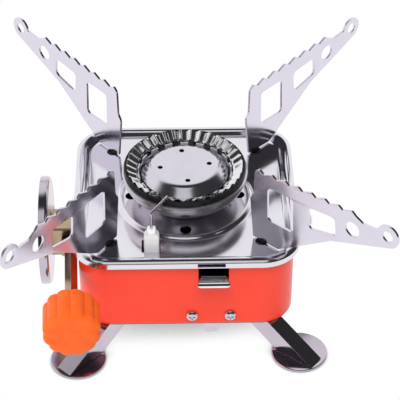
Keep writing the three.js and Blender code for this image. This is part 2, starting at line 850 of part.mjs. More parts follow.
// The teeth lean outwards: each falls steeply on its outer side and slowly on its inner side.
function armToothLine() {
  const [first, last] = [armFirstToothShares, armLastToothShares].map(armPoint);
  const line = [];
  const along = (teeth) => first.map((value, axis) => (
    value + ((last[axis] - value) * teeth) / (armTeeth - 1)
  ));
  for (let tooth = 0; tooth < armTeeth; tooth += 1) {
    line.push(along(tooth));
    if (tooth === armTeeth - 1) break;
    for (const share of armValleyShares) {
      const [u, v] = along(tooth + share);
      line.push([u, v - armToothDepth]);
    }
  }
  return line;
}

function armPlate() {
  const hookCentre = armPoint(armHookShares);
  const hook = arc(hookCentre, armHookRadius, armHookStartDegrees, armHookEndDegrees, armHookSteps);
  const line = [
    hook[hook.length - 1],
    ...armNeckShares.map(armPoint),
    ...armToothLine(),
    ...armRootShares.map(armPoint),
    [-stemWidth / 2, armLift],
    [-stemWidth / 2, -stemLength],
    [stemWidth / 2, -stemLength],
    [stemWidth / 2, armLift],
    ...armLowerShares.map(armPoint),
    hook[0],
  ];
  const outline = [...hook.slice(1, -1), ...roundedLine(line, armToothRounding, 1)];
  const windows = [armInnerWindowShares, armOuterWindowShares].map((corners) => (
    roundedOutline(corners.map(armPoint), armWindowRounding, 2)
  ));
  const holes = [
    circle(hookCentre, armHookHoleRadius, smallSides),
    circle(armPoint(armSlotHoleShares), armSlotHoleRadius, smallSides),
  ];
  return upright(prism(outline, armSheet, [...windows, ...holes]), armSheet);
}

// The pin turns in the tray, held by its flange under the floor, and the arm's stem sits in its slot.
function armPin() {
  const flangeTop = -traySheet - gap;
  const flangeEnd = flangeTop - pinFlangeHeight;
  const pin = turned("z", [
    [0, -gap],
    [pinRadius, -gap],
    [pinRadius, flangeTop],
    [pinFlangeRadius, flangeTop],
    [pinFlangeRadius, flangeEnd],
    [pinRadius, flangeEnd],
    [pinRadius, flangeEnd - pinTail],
    [0, flangeEnd - pinTail],
  ], smallSides);
  const slot = box(
    [-stemWidth / 2 - gap, -armSheet / 2 - gap, -stemLength - gap],
    [stemWidth / 2 + gap, armSheet / 2 + gap, overrun],
  );
  return cut(pin, slot);
}

// A leg runs out along local X from its rivet, level and then down to the foot, with a flange along
// one edge. The side is 1 or -1 for the edge that carries the flange.
function leg(side) {
  const slope = Math.tan(radians(legSlopeDegrees));
  const bendUnder = legBend - legSheet * Math.tan(radians(legSlopeDegrees / 2));
  const under = legTop - legSheet;
  const topEnd = [legBend + (legTop - legEndZ) / slope, legEndZ];
  const strip = upright(prism([
    [0, legTop],
    [0, under],
    [bendUnder, under],
    [bendUnder + (under - legEndZ) / slope, legEndZ],
    topEnd,
    [legBend, legTop],
  ], legWidth), legWidth);
  const flangeEdge = legTop - legFlangeDepth;
  const flangeEdgeStart = legFlangeStart + legFlangeSlant;
  const flange = upright(prism([
    [legFlangeStart, legTop],
    [flangeEdgeStart, flangeEdge + (legBend - flangeEdgeStart) * slope],
    [legBend + (flangeEdge - legEndZ) / slope, legEndZ],
    topEnd,
    [legBend, legTop],
  ], legSheet), legSheet);
  flange.translate(0, (side * (legWidth - legSheet)) / 2, 0);
  const tail = rod("z", legWidth / 2, under, legTop, smallSides);
  const hole = rod("z", rivetRadius + gap, under - overrun, legTop + overrun, boreSides);
  return cut(joined(strip, flange, tail), hole);
}

function foot(side) {
  const top = -standHeight + footSheet;
  const disc = turned("z", [
    [0, -standHeight],
    [footRadius, -standHeight],
    [footRadius, top - footEdge],
    [footRadius - footEdge, top],
    [0, top],
  ], footSides);
  return disc.translate(footReach, -side * footShift, 0);
}

// A rivet with its round head under the leg and its set end inside the body.
function legRivet() {
  const headTop = legTop - legSheet - gap;
  const headBottom = headTop - rivetHeadHeight;
  const tailBottom = bodySheet + gap;
  const profile = [
    [0, headBottom],
    [rivetHeadRadius - rivetRounding, headBottom],
    [rivetHeadRadius, headBottom + rivetRounding],
    [rivetHeadRadius, headTop],
    [rivetRadius, headTop],
    [rivetRadius, tailBottom],
    [rivetTailRadius, tailBottom],
    [rivetTailRadius - rivetRounding, tailBottom + rivetTailHeight],
    [0, tailBottom + rivetTailHeight],
  ];
  return turned("z", profile, smallSides);
}

function valveBody() {
  const half = valveSide / 2;
  const square = [[half, half], [-half, half], [-half, -half], [half, -half]];
  const length = valveOuter + valveInner;
  const block = sideways(prism(roundedOutline(square, valveChamfer, 1), length), length);
  block.translate((valveInner - valveOuter) / 2, 0, 0);
  const spindleEnd = -half + spindleInset + gap;
  const bore = rod("y", spindleRadius + gap, -half - overrun, spindleEnd, boreSides);
  const sealEnd = packingNutBack + packingNoseLength + spindleSealWidth + 2 * gap;
  const nutBore = rod("y", packingNoseRadius + gap, -half - overrun, sealEnd, boreSides);
  const socketStart = valveInner - pipeSocketDepth;
  const pipeSocket = rod("x", pipeRadius + gap, socketStart, valveInner + overrun, boreSides);
  const nozzleEnd = -valveOuter + nozzleDepth + gap;
  const nozzleBore = rod("x", nozzleRadius + gap, -valveOuter - overrun, nozzleEnd, boreSides);
  return cut(
    block,
    bore.rotateZ(spindleLean),
    nutBore.rotateZ(spindleLean),
    pipeSocket,
    nozzleBore.translate(0, collarShift, 0),
  );
}

function packingNut() {
  const hex = rod("y", hexRadius(packingNutFlats), packingNutFront, packingNutBack, 6);
  const noseStart = packingNutBack - packingNutLength / 2;
  const noseEnd = packingNutBack + packingNoseLength;
  const nose = rod("y", packingNoseRadius, noseStart, noseEnd, smallSides);
  const bore = rod("y", spindleRadius + gap, packingNutFront - overrun, noseEnd + overrun, boreSides);
  return cut(joined(hex, nose), bore);
}

function spindleSeal() {
  const start = packingNutBack + packingNoseLength + gap;
  const ring = [
    [spindleRadius + gap, start],
    [packingNoseRadius, start],
    [packingNoseRadius, start + spindleSealWidth],
    [spindleRadius + gap, start + spindleSealWidth],
  ];
  return turned("y", ring, smallSides);
}

function valveSpindle() {
  const innerEnd = -valveSide / 2 + spindleInset;
  const round = rod("y", spindleRadius, spindleHexStart - overrun, innerEnd, smallSides);
  return joined(round, rod("y", hexRadius(spindleFlats), -spindleReach, spindleHexStart, 6));
}

function knob() {
  const front = knobBack - knobLength;
  const count = knobLobes * knobLobeSteps;
  const ring = (radius, y) => Array.from({ length: count }, (_, i) => {
    const angle = (2 * Math.PI * i) / count;
    const lobe = Math.abs(Math.sin((knobLobes / 2) * angle));
    const reach = (radius * (knobRadius - knobLobeDepth * (1 - lobe))) / knobRadius;
    return [reach * Math.sin(angle), y, reach * Math.cos(angle)];
  });
  const grip = loft([
    ring(knobRadius - knobBackRounding, knobBack),
    ring(knobRadius, knobBack - knobBackRounding),
    ring(knobRadius, front + knobFrontRounding),
    ring(knobRadius - knobFrontRounding / 3, front + knobFrontRounding / 3),
    ring(knobRadius - knobFrontRounding, front),
  ]);
  const socketEnd = knobBack - knobSocketDepth;
  const socket = rod("y", hexRadius(spindleFlats + 2 * gap), socketEnd, knobBack + overrun, 6);
  return cut(grip, socket);
}

function cartridgeCollar() {
  const mouth = collarBack - collarDepth;
  const corners = [[nozzleRadius + gap, collarBack], [collarRadius, collarBack], [collarRadius, mouth]];
  const line = roundedLine(corners, collarRounding, 2);
  const cup = turned("x", sheetOutline(line, -collarSheet), roundSides);
  const lugs = Array.from({ length: collarLugCount }, (_, i) => (
    box(
      [mouth, -collarLugWidth / 2, collarRadius - collarSheet / 2 - collarLugReach],
      [mouth + collarSheet, collarLugWidth / 2, collarRadius - collarSheet / 2],
    ).rotateX(radians(collarLugDegrees + (360 * i) / collarLugCount))
  ));
  return joined(cup, ...lugs).translate([0, collarShift, 0]);
}

function valveNozzle() {
  const tipEnd = nozzleSeatFace - nozzleTipLength;
  const neckEnd = -valveOuter + nozzleDepth;
  const nozzle = turned("x", [
    [0, tipEnd],
    [nozzleTipRadius - nozzleTipRounding, tipEnd],
    [nozzleTipRadius, tipEnd + nozzleTipRounding],
    [nozzleTipRadius, nozzleSeatFace],
    [nozzleSeatRadius, nozzleSeatFace],
    [nozzleSeatRadius, nozzleSeatBack],
    [nozzleRadius, nozzleSeatBack],
    [nozzleRadius, neckEnd],
    [0, neckEnd],
  ], tubeSides);
  return nozzle.translate(0, collarShift, 0);
}

function cartridgeSeal() {
  const back = nozzleSeatFace - gap;
  const washer = turned("x", [
    [nozzleTipRadius + gap, back],
    [washerRadius, back],
    [washerRadius, back - washerHeight],
    [nozzleTipRadius + gap, back - washerHeight],
  ], tubeSides);
  return washer.translate(0, collarShift, 0);
}

function igniterBody() {
  const halfDepth = igniterDepth / 2;
  const corners = [
    [igniterHalf, halfDepth],
    [-igniterHalf, halfDepth],
    [-igniterHalf, -halfDepth],
    [igniterHalf, -halfDepth],
  ];
  const housing = prism(roundedOutline(corners, igniterRounding, 2), igniterTop - igniterBottom);
  housing.translate(igniterX, igniterY, igniterBottom);
  const boreEnd = plungerTop - plungerLength - leverTravel - gap;
  const bore = box(
    [igniterX - plungerHalf - gap, igniterY - plungerDepth / 2 - gap, boreEnd],
    [igniterX + plungerHalf + gap, igniterY + plungerDepth / 2 + gap, igniterTop + overrun],
  );
  return cut(housing, bore);
}

function igniterPlunger() {
  return box(
    [igniterX - plungerHalf, igniterY - plungerDepth / 2, plungerTop - plungerLength],
    [igniterX + plungerHalf, igniterY + plungerDepth / 2, plungerTop],
  );
}

// The lever's plate reaches out through the front window and turns down into a wider lip.
function igniterLever() {
  const edge = frontY - leverOut;
  const lipEnd = [edge - leverLipLean, leverZ - leverLipDrop];
  const plateLine = [[frontY + leverIn, leverZ], [edge, leverZ], lipEnd];
  const lipLine = [[edge + leverLipRoot, leverZ], [edge, leverZ], lipEnd];
  const plate = sideways(prism(sheetOutline(plateLine, -leverSheet), 2 * leverHalf), 2 * leverHalf);
  const lip = sideways(prism(sheetOutline(lipLine, -leverSheet), 2 * leverLipHalf), 2 * leverLipHalf);
  const top = leverZ + leverSheet;
  const pitch = leverOut / leverRibs;
  const ribLength = 2 * (leverHalf - leverRibInset);
  const ribs = Array.from({ length: leverRibs }, (_, i) => {
    const y = frontY - pitch * (i + 0.5);
    const section = [
      [y - pitch / 3, top - leverRibHeight],
      [y + pitch / 3, top - leverRibHeight],
      [y, top + leverRibHeight],
    ];
    return sideways(prism(section, ribLength), ribLength);
  });
  const lever = joined(plate, lip, ...ribs);
  return lever.translate([leverX, 0, 0]);
}

// The bracket is screwed behind the front wall, holds the igniter between two cheeks and reaches
// down through the body's bottom in a rounded tongue.
function igniterBracket() {
  const tongueTop = bodyEdge + 2 * bracketRounding;
  const faces = [
    [bracketHalf, bodyEdge, bracketTop],
    [tongueHalf, -tongueDrop, tongueTop],
  ].map(([half, low, high]) => {
    const corners = [[half, low], [half, high], [-half, high], [-half, low]];
    const face = prism(roundedOutline(corners, bracketRounding, 2), bracketSheet);
    return upright(face, bracketSheet).translate(igniterX, bracketBackY - bracketSheet / 2, 0);
  });
  const cheekStart = igniterHalf + gap;
  const cheeks = [-1, 1].map((side) => {
    const ends = [side * cheekStart, side * (cheekStart + bracketSheet)];
    return box(
      [igniterX + Math.min(...ends), bracketBackY - bracketSheet, cheekBottom],
      [igniterX + Math.max(...ends), bracketBackY - bracketSheet + cheekDepth, cheekTop],
    );
  });
  const holes = screwPlaces().map((x) => (
    rod("y", screwRadius + gap, innerFrontY, igniterFrontY, boreSides).translate(x, 0, screwZ)
  ));
  return cut(joined(...faces, ...cheeks), ...holes);
}

function frontScrew() {
  const seat = frontY - gap;
  const top = seat - screwHeadHeight;
  const profile = [
    [0, top],
    [screwHeadRadius - screwHeadRounding, top],
    [screwHeadRadius, top + screwHeadRounding],
    [screwHeadRadius, seat],
    [screwRadius, seat],
    [screwRadius, seat + screwLength],
    [0, seat + screwLength],
  ];
  const half = screwCrossWidth / 2;
  const [near, far] = [top - overrun, top + screwCrossDepth];
  return cut(
    turned("y", profile, smallSides),
    box([-screwCrossHalf, near, -half], [screwCrossHalf, far, half]),
    box([-half, near, -screwCrossHalf], [half, far, screwCrossHalf]),
  );
}

function electrodeInsulator() {
  const shoulder = insulatorTop - insulatorHeadHeight;
  const half = [
    [insulatorHalf, insulatorBottom],
    [insulatorHalf, shoulder],
    [insulatorHeadHalf, shoulder + insulatorShoulder],
    [insulatorHeadHalf, insulatorTop],
  ];
  const outline = [...half, ...half.map(([x, z]) => [-x, z]).reverse()];
  const stem = upright(prism(roundedOutline(outline, insulatorRounding, 2), insulatorDepth), insulatorDepth);
  const boreEnd = insulatorTop - wireSeat - gap;
  const bore = rod("z", wireRadius + gap, boreEnd, insulatorTop + overrun, boreSides);
  return cut(stem, bore).translate([insulatorX, insulatorY, 0]);
}

function electrodeWire() {
  const tipRadius = bandTopRadius;
  const angle = radians(wireTipDegrees);
  const z = bandTop + sparkGap;
  const start = new THREE.Vector3(insulatorX, insulatorY, insulatorTop - wireSeat);
  const corner = new THREE.Vector3(insulatorX, insulatorY, z);
  const tip = new THREE.Vector3(-tipRadius * Math.sin(angle), -tipRadius * Math.cos(angle), z);
  const bendStart = corner.clone().setZ(z - wireBend);
  const bendEnd = corner.clone().add(tip.clone().sub(corner).setLength(wireBend));
  const path = new THREE.CurvePath();
  path.add(new THREE.LineCurve3(start, bendStart));
  path.add(new THREE.QuadraticBezierCurve3(bendStart, corner, bendEnd));
  path.add(new THREE.LineCurve3(bendEnd, tip));
  return bar(path, wireRadius, wireSides, wireSteps);
}

function ignitionLead() {
  const route = [leadStart, ...leadRoute, leadEnd].map((point) => new THREE.Vector3(...point));
  return bar(new THREE.CatmullRomCurve3(route), leadRadius, leadSides, leadSteps);
}

const stove = new THREE.Group();
place("body_shell", bodyShell(), redPaint, stove);
place("tray", tray(), stainless, stove);
place("burner_bowl", burnerBowl(), stainless, stove);
place("burner_ring", burnerBand(), heatedSteel, stove);
place("burner_crown", burnerCrown(), stainless, stove);
place("port_ring", portRing(), darkSteel, stove);
place("burner_cap", burnerCap(), stainless, stove);
place("mixing_tube", mixingTube(), brass, stove);
place("burner_nut", burnerNut(), brass, stove);
place("jet", jet(), brass, stove);
place("jet_block", jetBlock(), brass, stove);
place("gas_pipe", gasPipe(), brass, stove);

for (const { name, x, y, degrees } of armPlaces) {
  const pivot = new THREE.Group();
  pivot.position.set(x * armPivot, y * armPivot, floorTop);
  pivot.rotation.z = radians(degrees);
  place(`arm_${name}`, armPlate(), stainless, pivot);
  place(`arm_pin_${name}`, armPin(), darkSteel, pivot);
  stove.add(pivot);
}

for (const { name, x, y, degrees } of legPlaces) {
  const pivot = new THREE.Group();
  pivot.position.set(x * legPivotX, y * legPivotY, 0);
  pivot.rotation.z = radians(degrees);
  place(`leg_${name}`, leg(x * y), stainless, pivot);
  place(`foot_${name}`, foot(x * y), stainless, pivot);
  place(`leg_rivet_${name}`, legRivet(), zinc, pivot);
  stove.add(pivot);
}

const valve = new THREE.Group();
valve.position.set(valveX, valveY, valveZ);
place("valve_body", valveBody(), brass, valve);
place("cartridge_flange", cartridgeCollar(), stainless, valve);
place("valve_nozzle", valveNozzle(), brass, valve);
place("cartridge_seal", cartridgeSeal(), rubber, valve);
stove.add(valve);

const spindle = new THREE.Group();
spindle.rotation.z = spindleLean;
place("valve_spindle", valveSpindle(), brass, spindle);
place("packing_nut", packingNut(), brass, spindle);
place("spindle_seal", spindleSeal(), rubber, spindle);
place("knob", knob(), orangePlastic, spindle);
valve.add(spindle);

place("igniter_body", igniterBody(), blackPlastic, stove);
place("igniter_plunger", igniterPlunger(), blackPlastic, stove);
place("igniter_lever", igniterLever(), chrome, stove);
place("igniter_bracket", igniterBracket(), zinc, stove);
for (const [i, name] of ["left", "right"].entries()) {
  const seat = new THREE.Group();
  seat.position.set(screwPlaces()[i], 0, screwZ);
  place(`front_screw_${name}`, frontScrew(), zinc, seat);
  stove.add(seat);
}
place("electrode_insulator", electrodeInsulator(), ceramic, stove);
place("electrode_wire", electrodeWire(), zinc, stove);
place("ignition_lead", ignitionLead(), leadSleeve, stove);

export default stove;
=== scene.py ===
"""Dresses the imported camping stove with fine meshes, materials, studio light and a camera.

Lengths are millimetres and become metres where a mesh, a lamp or the camera is made. The axes are
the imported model's: +Z is up, +X is the stove's right side and -Y its front.
"""
import json
from math import asin, atan2, cos, dist, hypot, pi, radians, sin, sqrt, tan

import bmesh
import bpy
from mathutils import Matrix, Vector


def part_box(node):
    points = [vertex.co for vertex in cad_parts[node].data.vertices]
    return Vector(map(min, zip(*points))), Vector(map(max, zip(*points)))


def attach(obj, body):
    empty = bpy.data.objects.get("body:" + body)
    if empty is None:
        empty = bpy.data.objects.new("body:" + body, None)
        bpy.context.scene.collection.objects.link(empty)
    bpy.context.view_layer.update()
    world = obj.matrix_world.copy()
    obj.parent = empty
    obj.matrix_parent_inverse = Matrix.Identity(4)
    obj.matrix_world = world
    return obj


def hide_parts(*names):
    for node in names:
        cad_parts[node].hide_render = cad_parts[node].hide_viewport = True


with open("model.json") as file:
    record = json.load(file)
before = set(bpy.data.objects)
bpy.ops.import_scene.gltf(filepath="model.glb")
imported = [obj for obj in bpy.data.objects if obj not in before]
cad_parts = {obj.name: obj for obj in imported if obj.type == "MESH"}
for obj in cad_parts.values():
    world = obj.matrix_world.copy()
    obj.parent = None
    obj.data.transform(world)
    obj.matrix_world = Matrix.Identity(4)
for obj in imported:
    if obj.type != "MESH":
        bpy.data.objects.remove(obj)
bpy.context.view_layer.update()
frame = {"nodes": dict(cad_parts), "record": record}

MM = 0.001
GAP = 0.3
OVERRUN = 2.0  # of a cutting tool past its sheet
WELD = 0.002  # points nearer than this become one
AXIS_RADIUS = 0.001  # of the ring that stands for a point on an axis
FLAT_DEGREES = 1  # between faces that count as one flat face
BEND_LIMIT_SHARE = 0.48  # of a side that a rounded corner takes at most

# Camera, at the photograph's viewing angle
CAMERA_TARGET_Z = 34.5
CAMERA_DISTANCE = 626.0
CAMERA_ELEVATION = 38.1
CAMERA_HEADING = -0.43
CAMERA_LENS = 144.81
CAMERA_CLIP = (10.0, 20000.0)
SENSOR_WIDTH = 36.0
FRAME_PIXELS = 400
AIM_RIGHT_PIXELS = 15
AIM_DOWN_PIXELS = 10

# Studio. Glossy surfaces see a dark room above the camera, with a soft square patch in it.
FLOOR_HALF = 2500.0
FLOOR_WHITE = 0.80
WORLD_LEVEL = 0.62
DARK_AXIS = (0.35, -0.66, 0.66)
DARK_RANGE = (0.06, 0.34)
DARK_LEVEL = 0.035
PATCH_LEVEL = 0.78
PATCH_CENTRE = (-0.045, -0.36)
PATCH_HALF = 0.24
PATCH_EDGE = 0.05
SHADOWS = [(60.0, (0.05, 0.36), 0.28), (6.0, (0.35, 0.95), 0.35)]  # reach, hidden to open, darkest
SHADOW_SAMPLES = 32
LAMPS = {  # place, target and size, and power in watts
    "overhead_lamp": ((-60, -620, 1180), (0, 0, 20), (620, 420), 8.5),
    "side_lamp": ((-1000, -420, 260), (0, 0, 15), (260, 900), 4.5),
}

# Noise in the materials
NOISE_RANGE = (0.3, 0.7)
NOISE_DETAIL = 3.0
EVEN = (1, 1, 1)  # not drawn out along an axis
STEEL_DRIFT = 14.0
STEEL_GLOSS_SHARES = (0.9, 1.15)
STEEL_GLOSS_NOISE = (3.0, (4, 1, 1))
STEEL_MARKS = (0.5, (8, 1, 1))

# Softened edges of the pieces: their width and the segments across them
SOFT_EDGES = {
    "body_shell": (0.18, 2),
    "tray": (0.22, 3),
    "burner_bowl": (0.36, 4),
    "burner_ring": (0.3, 3),
    "burner_crown": (0.08, 1),
    "port_ring": (0.12, 1),
    "burner_cap": (0.15, 2),
    "cartridge_flange": (0.15, 2),
    "leg": (0.4, 3),
    "valve_body": (0.1, 2),
    "packing_nut": (0.12, 2),
    "valve_spindle": (0.08, 2),
    "igniter_bracket": (0.15, 2),
    "front_screw": (0.06, 2),
}

# Sides of round forms
BODY_SIDES = 192
TRAY_SIDES = 240
TURNED_SIDES = 160
RING_SIDES = 96
SCREW_SIDES = 64
HOLE_SIDES = 48
SMALL_HOLE_SIDES = 32

# Body
BODY_HALF = 40.7
BODY_CORNER = 12.4
BODY_HEIGHT = 32.9
BODY_SHEET = 0.8
BODY_EDGE = 3.0
STIFFENER_RADIUS = 12.0
STIFFENER_WIDTH = 2.4
STIFFENER_RISE = 0.5
RIVET_HOLE_RADIUS = 1.8

# Tray
TRAY_SHEET = 0.8
TRAY_HALF = 43.0
TRAY_CORNER = 14.7
BEAD_RADIUS = 2.2
BEAD_Z = 32.3
BEAD_END = 30
BEAD_SHOULDER = 0.4
SKIRT_DROP = 1.0
RIM_TILT = 50  # of the rim's inner slope, in degrees
TRAY_FILLET = 1.2
BOSS_RADIUS = 26.3
BOSS_DRAFT = 1.2
BOSS_RISE = 0.9
BOSS_ROUNDING = 0.7
BOSS_MARGIN = 3.0  # of flat sheet on either side of its wall
BOSS_SHIFT = -1.5  # of the boss and its air holes, towards the front
AIR_HOLES = 4
AIR_HOLE_RADIUS = 2.2
AIR_HOLE_REACH = 21.0
SKIRT_SLOT_LENGTH = 10.4
SKIRT_SLOT_HEIGHT = 1.6
SKIRT_SLOT_DEPTH = 1.5
FLOOR_TOP = BEAD_Z + BEAD_RADIUS * sin(radians(BEAD_END)) - TRAY_FILLET
BOSS_TOP = FLOOR_TOP + BOSS_RISE
ARM_PIVOT = (28.6, 28.6)
PIN_RADIUS = 2.2

# Burner
TUBE_RADIUS = 6.3
BOWL_BOTTOM = BOSS_TOP + GAP
BOWL_RADIUS = 24.2
BOWL_HEIGHT = 11.0
BOWL_SHEET = 0.8
BOWL_ROUNDING = 0.6
BOWL_SHARES = [(0.665, 0), (0.806, 0.238), (0.921, 0.505), (0.983, 0.771), (1, 1)]
BAND_RADIUS = 23.6
BAND_TOP_RADIUS = 23.4
BAND_HEIGHT = 2.2
BAND_SHEET = 0.8
BAND_BOTTOM = BOWL_BOTTOM + BOWL_HEIGHT + GAP
BAND_TOP = BAND_BOTTOM + BAND_HEIGHT
PORT_RADIUS = 18.3
PORT_MOUTH = 7.0
PORT_SHEET = 0.6
PORT_ROUNDING = 0.5
PORT_BOTTOM = 40.6
PORT_HEIGHT = 3.7
PORT_SLOTS = 18
PORT_SLOT_WIDTH = 3.2
PORT_SLOT_DEPTH = 2.0
CROWN_PLEATS = 36
CROWN_PLEAT_STEPS = 12
CROWN_SHARES = (0, 0.25, 0.5, 0.75, 1)
CROWN_DIP = 2.4
CROWN_DIP_POWER = 0.9
CROWN_WAVE = 0.6
CROWN_CREASE = 0.97  # how sharp its folds are, up to 1
CROWN_SHEET = 0.5
CROWN_RISE = 0.4
CAP_RADIUS = 16.7
CAP_FLAT_RADIUS = 13.0
CAP_SHEET = 0.8
CAP_HEIGHT = 3.1
CAP_TOP = 46.6
CAP_ROUNDING = 1.5
CAP_HOLES = 4
CAP_HOLE_RADIUS = 1.0
CAP_HOLE_REACH = 9.5
CAP_HOLE_DEGREES = 6.5

# Pot arms, in u outwards and v upwards from the tray's floor
ARM_LENGTH = 60.0
ARM_HEIGHT = 37.4
ARM_SHEET = 1.0
ARM_LIFT = 0.7
ARM_TEETH = 8
ARM_TOOTH_DEPTH = 1.5
ARM_TOOTH_ROUNDING = 0.6
ARM_WINDOW_ROUNDING = 2.0
ARM_HOOK_RADIUS = 4.6
ARM_HOOK_START = -70
ARM_HOOK_END = 170
ARM_HOOK_HOLE = 2.2
ARM_SLOT_HOLE = 3.1
ARM_EDGE = 0.12
ARM_HOOK_SHARES = (0.932, 0.866)
ARM_SLOT_HOLE_SHARES = (0.683, 0.735)
ARM_LOWER_SHARES = [(0.133, 0), (0.2, 0.072), (0.533, 0.463)]
ARM_NECK_SHARES = [(0.842, 0.882), (0.753, 0.866), (0.7, 0.906)]
ARM_FIRST_TOOTH_SHARES = (0.667, 0.947)
ARM_LAST_TOOTH_SHARES = (-0.035, 0.864)
ARM_ROOT_SHARES = [(-0.067, 0.816), (-0.072, 0.54), (-0.098, 0.471), (-0.067, 0)]
ARM_VALLEY_SHARES = (0.57, 0.67)
ARM_INNER_WINDOW_SHARES = [(0.038, 0.701), (0.238, 0.717), (0.248, 0.307), (0.045, 0.299)]
ARM_OUTER_WINDOW_SHARES = [(0.352, 0.722), (0.553, 0.759), (0.568, 0.553), (0.365, 0.471)]
STEM_WIDTH = 3.0
STEM_LENGTH = 2.8
ARM_DEGREES = {"rear_left": 132.1, "rear_right": 43.8, "front_right": -42.8, "front_left": -124.9}
CORNERS = {"rear_left": (-1, 1), "rear_right": (1, 1), "front_right": (1, -1), "front_left": (-1, -1)}

# Legs and feet
LEG_PIVOT = (21.8, 24.9)
LEG_DEGREES = {"rear_left": 139.5, "rear_right": 40.5, "front_right": -39.8, "front_left": -134.5}
STAND_HEIGHT = 14.4
FOOT_RADIUS = 10.7
FOOT_SHEET = 1.0
FOOT_REACH = 27.1
FOOT_SHIFT = 1.6
FOOT_EDGE = 0.35

# Valve: the collar stands square to its block, and the knob's spindle leans a little
VALVE_PLACE = (-44.5, -10.1, 22.6)
SPINDLE_LEAN = 2.8
VALVE_OUTER = 7.2
KNOB_RADIUS = 10.7
KNOB_BACK = -45.0
KNOB_LENGTH = 14.4
KNOB_LOBES = 12
KNOB_LOBE_STEPS = 14
KNOB_LOBE_DEPTH = 0.9
KNOB_LOBE_POWER = 0.75  # below 1 the valleys are narrower than the lobes
KNOB_LOBE_END = 6.0  # inset at which the lobes have run out
KNOB_FACE_INSET = 5.0
KNOB_FACE_CROWN = 0.05
KNOB_BACK_ROUNDING = 0.8
KNOB_FRONT_ROUNDING = 2.4
KNOB_SOCKET_RADIUS = 2.9
KNOB_SOCKET_DEPTH = 8.3
KNOB_SOCKET_SIDES = 6
COLLAR_RADIUS = 21.0
COLLAR_SHEET = 0.9
COLLAR_DEPTH = 3.6
COLLAR_SHIFT = 1.3
COLLAR_ROUNDING = 1.6
COLLAR_LUGS = 3
COLLAR_LUG_DEGREES = 27
COLLAR_LUG_WIDTH = 7.0
COLLAR_LUG_REACH = 2.2
NOZZLE_RADIUS = 3.0

# Igniter's lever and the front screws
IGNITER_X = 9.35
LEVER_X = 10.2
LEVER_HALF = 5.0
LEVER_LIP_HALF = 6.2
LEVER_FLARE_POWER = 1.5
LEVER_SHEET = 1.0
LEVER_CHAMFER_SHARE = 0.3  # of the sheet
LEVER_CHAMFER_ROUNDING_SHARE = 0.3  # of the chamfer
LEVER_Z = 25.1
LEVER_BACK = -33.0
LEVER_EDGE = -45.3
LEVER_LIP_Z = 24.1
LEVER_LIP_ROUNDING = 1.1
LEVER_BEND = 1.3
LEVER_RIBS = (-41.2, -44.0)  # Y range
LEVER_RIB_PITCH = 0.93
LEVER_RIB_HEIGHT = 0.12
LEVER_RIB_STEPS = 36
LEVER_STUDS = 11
LEVER_STUD_STEPS = 8
LEVER_TRAVEL = 4.5
WINDOW_SIDE = 0.7
SCREW_SPREAD = 7.3
SCREW_Z = 5.9
SCREW_RADIUS = 1.3
SCREW_LENGTH = 3.5
SCREW_HOLE_RADIUS = 1.6
SCREW_HEAD_RADIUS = 2.3
SCREW_HEAD_HEIGHT = 1.2
SCREW_DOME_DEGREES = (75, 60, 45, 30, 15)
SCREW_CROSS_HALF = 1.35
SCREW_CROSS_WIDTH = 0.55
SCREW_CROSS_DEPTH = 0.75
TONGUE_HALF = 2.95
TONGUE_SLOT = (-39.9, -38.5)  # Y range

# Electrode
INSULATOR_X = -12.8
INSULATOR_FRONT = -34.2
INSULATOR_DEPTH = 4.6
INSULATOR_MIDDLE = INSULATOR_FRONT + INSULATOR_DEPTH / 2
INSULATOR_HALF = 2.9
INSULATOR_HEAD_HALF = 1.65
INSULATOR_TOP = 41.6
INSULATOR_BOTTOM = 26.0
INSULATOR_HEAD_HEIGHT = 3.0
INSULATOR_SHOULDER = 1.4
INSULATOR_ROUNDING = 1.0
INSULATOR_EDGE = 0.8
INSULATOR_SLOT = ((-16.6, -9.6), (-34.5, -27.3))
WIRE_RADIUS = 0.5
WIRE_Z = 49.1
WIRE_TIP_DEGREES = 16.6
WIRE_BEND = 1.6
WIRE_BEND_STEPS = 8
WIRE_ROOT = 0.5  # how deep it stands in the ceramic


def arc(centre, radius, start, end, steps):
    """Points of radius and height, or of x and y, along an arc."""
    angles = [radians(start + (end - start) * step / steps) for step in range(steps + 1)]
    return [(centre[0] + radius * cos(angle), centre[1] + radius * sin(angle)) for angle in angles]


def bend(before, corner, after, radius, steps):
    """A rounded corner between two neighbours, by less than half of either side."""
    ends = []
    for point in (before, after):
        share = min(radius / dist(point, corner), BEND_LIMIT_SHARE)
        ends.append(tuple(c + (p - c) * share for p, c in zip(point, corner)))
    points = []
    for step in range(steps + 1):
        t = step / steps
        weights = ((1 - t) ** 2, 2 * t * (1 - t), t * t)
        trio = (ends[0], corner, ends[1])
        points.append(tuple(sum(w * p[axis] for w, p in zip(weights, trio)) for axis in (0, 1)))
    return points


def rounded_line(line, radius, steps):
    inner = [p for i in range(1, len(line) - 1) for p in bend(*line[i - 1:i + 2], radius, steps)]
    return [line[0], *inner, line[-1]]


def rounded_outline(corners, radius, steps):
    return rounded_line([corners[-1], *corners, corners[0]], radius, steps)[1:-1]


def sheet_outline(line, thickness):
    """A line and its copy at the sheet's thickness, to the left of its direction."""
    across = []
    for a, b in zip(line, line[1:]):
        length = dist(a, b)
        across.append(((a[1] - b[1]) / length, (b[0] - a[0]) / length))
    copy = []
    for i, point in enumerate(line):
        before, after = across[max(i - 1, 0)], across[min(i, len(across) - 1)]
        total = (before[0] + after[0], before[1] + after[1])
        reach = 2 * thickness / (total[0] ** 2 + total[1] ** 2)
        copy.append((point[0] + total[0] * reach, point[1] + total[1] * reach))
    return [*line, *reversed(copy)]


